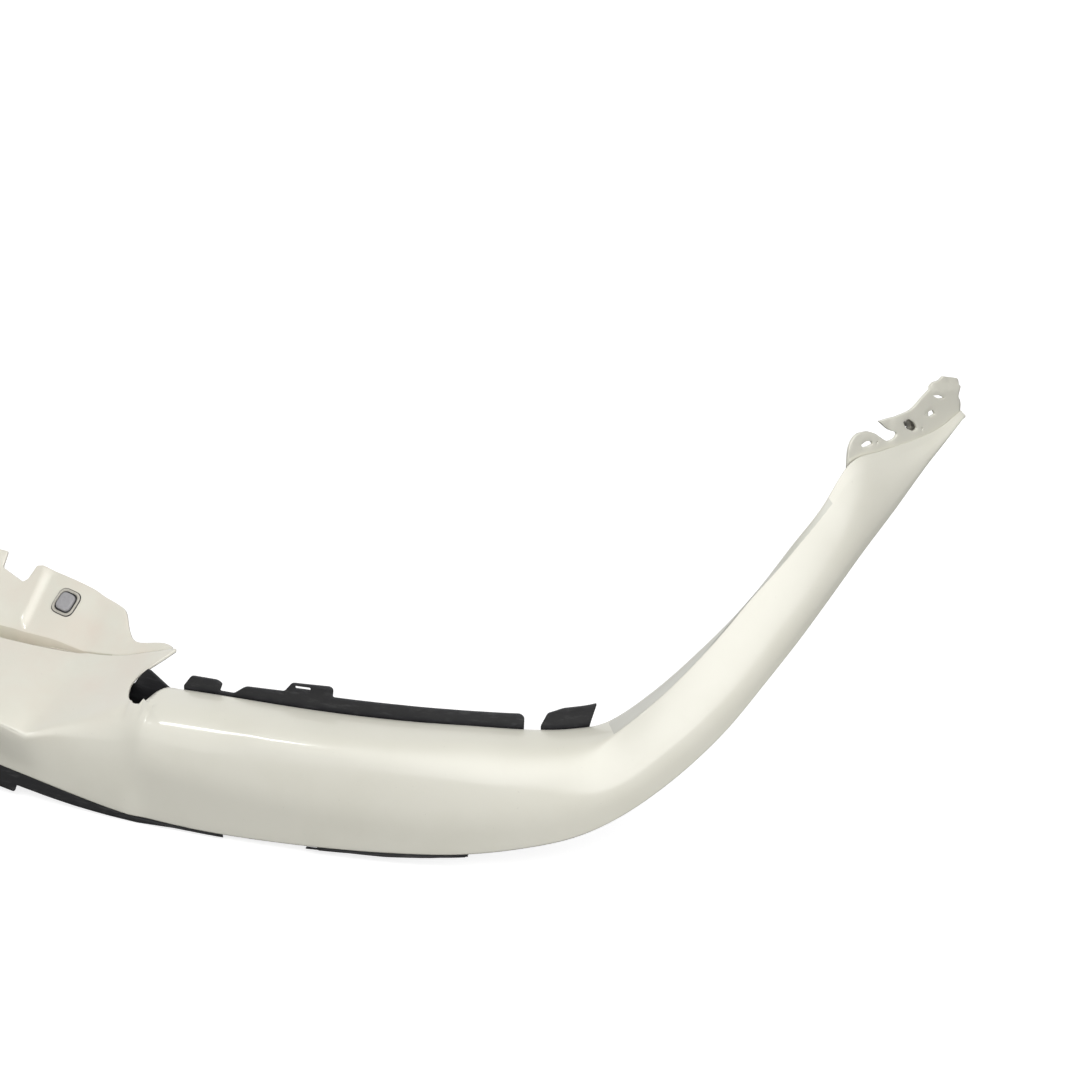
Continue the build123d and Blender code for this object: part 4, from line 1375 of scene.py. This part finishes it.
def raised_rings(width, depth, corner, profile):
    """Rings of a rounded rectangle, each drawn in and raised as the profile says, in the flange's plane."""
    loop = divided(rectangle(width, depth, corner), 3.0)
    turn = np.array([(cos(PAD_TILT), sin(PAD_TILT)), (-sin(PAD_TILT), cos(PAD_TILT))])
    return [(loop * (1 - 2 * inward / np.array((width, depth))) @ turn, rise) for inward, rise in profile]


# How far each ring of a pad's piece is drawn in, and how high it stands over the flange.
FOAM_PROFILE = [(0, 0.2), (0, 2.2), (0.25, 2.9), (0.8, 3.2), (2.5, 3.3), (6, 3.3)]
PLATE_PROFILE = [(0, -0.8), (0, 0.25), (0.5, 0.45), (6, 0.45)]
RIM_PROFILE = [(0.2, 0.3), (0, 0.9), (0.5, 1.5), (1.2, 1.6), (1.9, 1.4), (2.3, 0.8), (2.3, 0.3)]
# Each piece of the pad: width, depth, corner, profile, material, slot, and whether it is a ring.
PAD_PIECES = {
    "hood_pad_foam": (15.5, 17.0, 5.5, FOAM_PROFILE, PAD_GREY, "grey_pad", False),
    "hood_pad_plate": (25.0, 26.0, 8.5, PLATE_PROFILE, MOULDING_BLACK, "black_moulding_plastic", False),
    "hood_pad_rim": (23.6, 24.6, 8.0, RIM_PROFILE, RIM_GREY, "grey_pad", True),
}


def make_pad(side_name, side, centre, along, uphill, normal):
    """A pillow-edged grey pad in a moulded rim on the flange."""
    for name, (width, depth, corner, profile, material, slot, is_ring) in PAD_PIECES.items():
        builder = Builder()
        rings = raised_rings(width, depth, corner, profile)
        verts = []
        for loop, rise in rings:
            verts.append(centre + loop[:, :1] * along + loop[:, 1:] * uphill + rise * normal)
        count = len(verts[0])
        faces = ring_faces(len(rings), count, is_ring)
        if not is_ring:
            for ring in (len(rings) - 1, 0):
                verts.append(verts[ring].mean(axis=0, keepdims=True))
            last, top = (len(rings) - 1) * count, len(rings) * count
            faces += [(last + i, last + (i + 1) % count, top) for i in range(count)]
            faces += [(i, (i + 1) % count, top + 1) for i in range(count)]
        builder.add(np.vstack(verts) * MM * (side, 1, 1), faces)
        replaces = [f"hood_pad_{side_name}"] if name == "hood_pad_foam" else []
        builder.finish(f"{name}_{side_name}", [material], slot, replaces=replaces)


for side_name, side in SIDES:
    make_pad(side_name, side, *pad_frame())

# ---- carried-over CAD nodes ------------------------------------------------------------------------
CAD_FINISH = {
    "slot_closer": (BRACKET_BLACK, 0.5),
    "upper_retainer": (MOULDING_BLACK, 0.5),
    "bracket_screws": (SCREW_STEEL, 0.2),
    "retainer_screws": (SCREW_STEEL, 0.2),
    "trim_screws": (SCREW_STEEL, 0.2),
    "wing_nut": (NUT_STEEL, 0.25),
    "rivet_sleeves": (RIVET_NYLON, 0.25),
    "rivet_pin": (RIVET_NYLON, 0.25),
}


def dress_cad_nodes():
    """Each shown CAD node gets its material, welded edges and a small rounding."""
    for name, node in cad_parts.items():
        if node.hide_render:
            continue
        stem = max((s for s in CAD_FINISH if name.startswith(s)), key=len)
        material, rounding = CAD_FINISH[stem]
        node.data.materials.clear()
        node.data.materials.append(material)
        weld = node.modifiers.new("weld", "WELD")
        weld.merge_threshold = 1e-6
        bevel = node.modifiers.new("rounded_edges", "BEVEL")
        bevel.width = rounding * MM
        bevel.segments = 2
        bevel.limit_method = "ANGLE"
        bevel.angle_limit = radians(35)
        node.modifiers.new("even_shading", "WEIGHTED_NORMAL")


dress_cad_nodes()
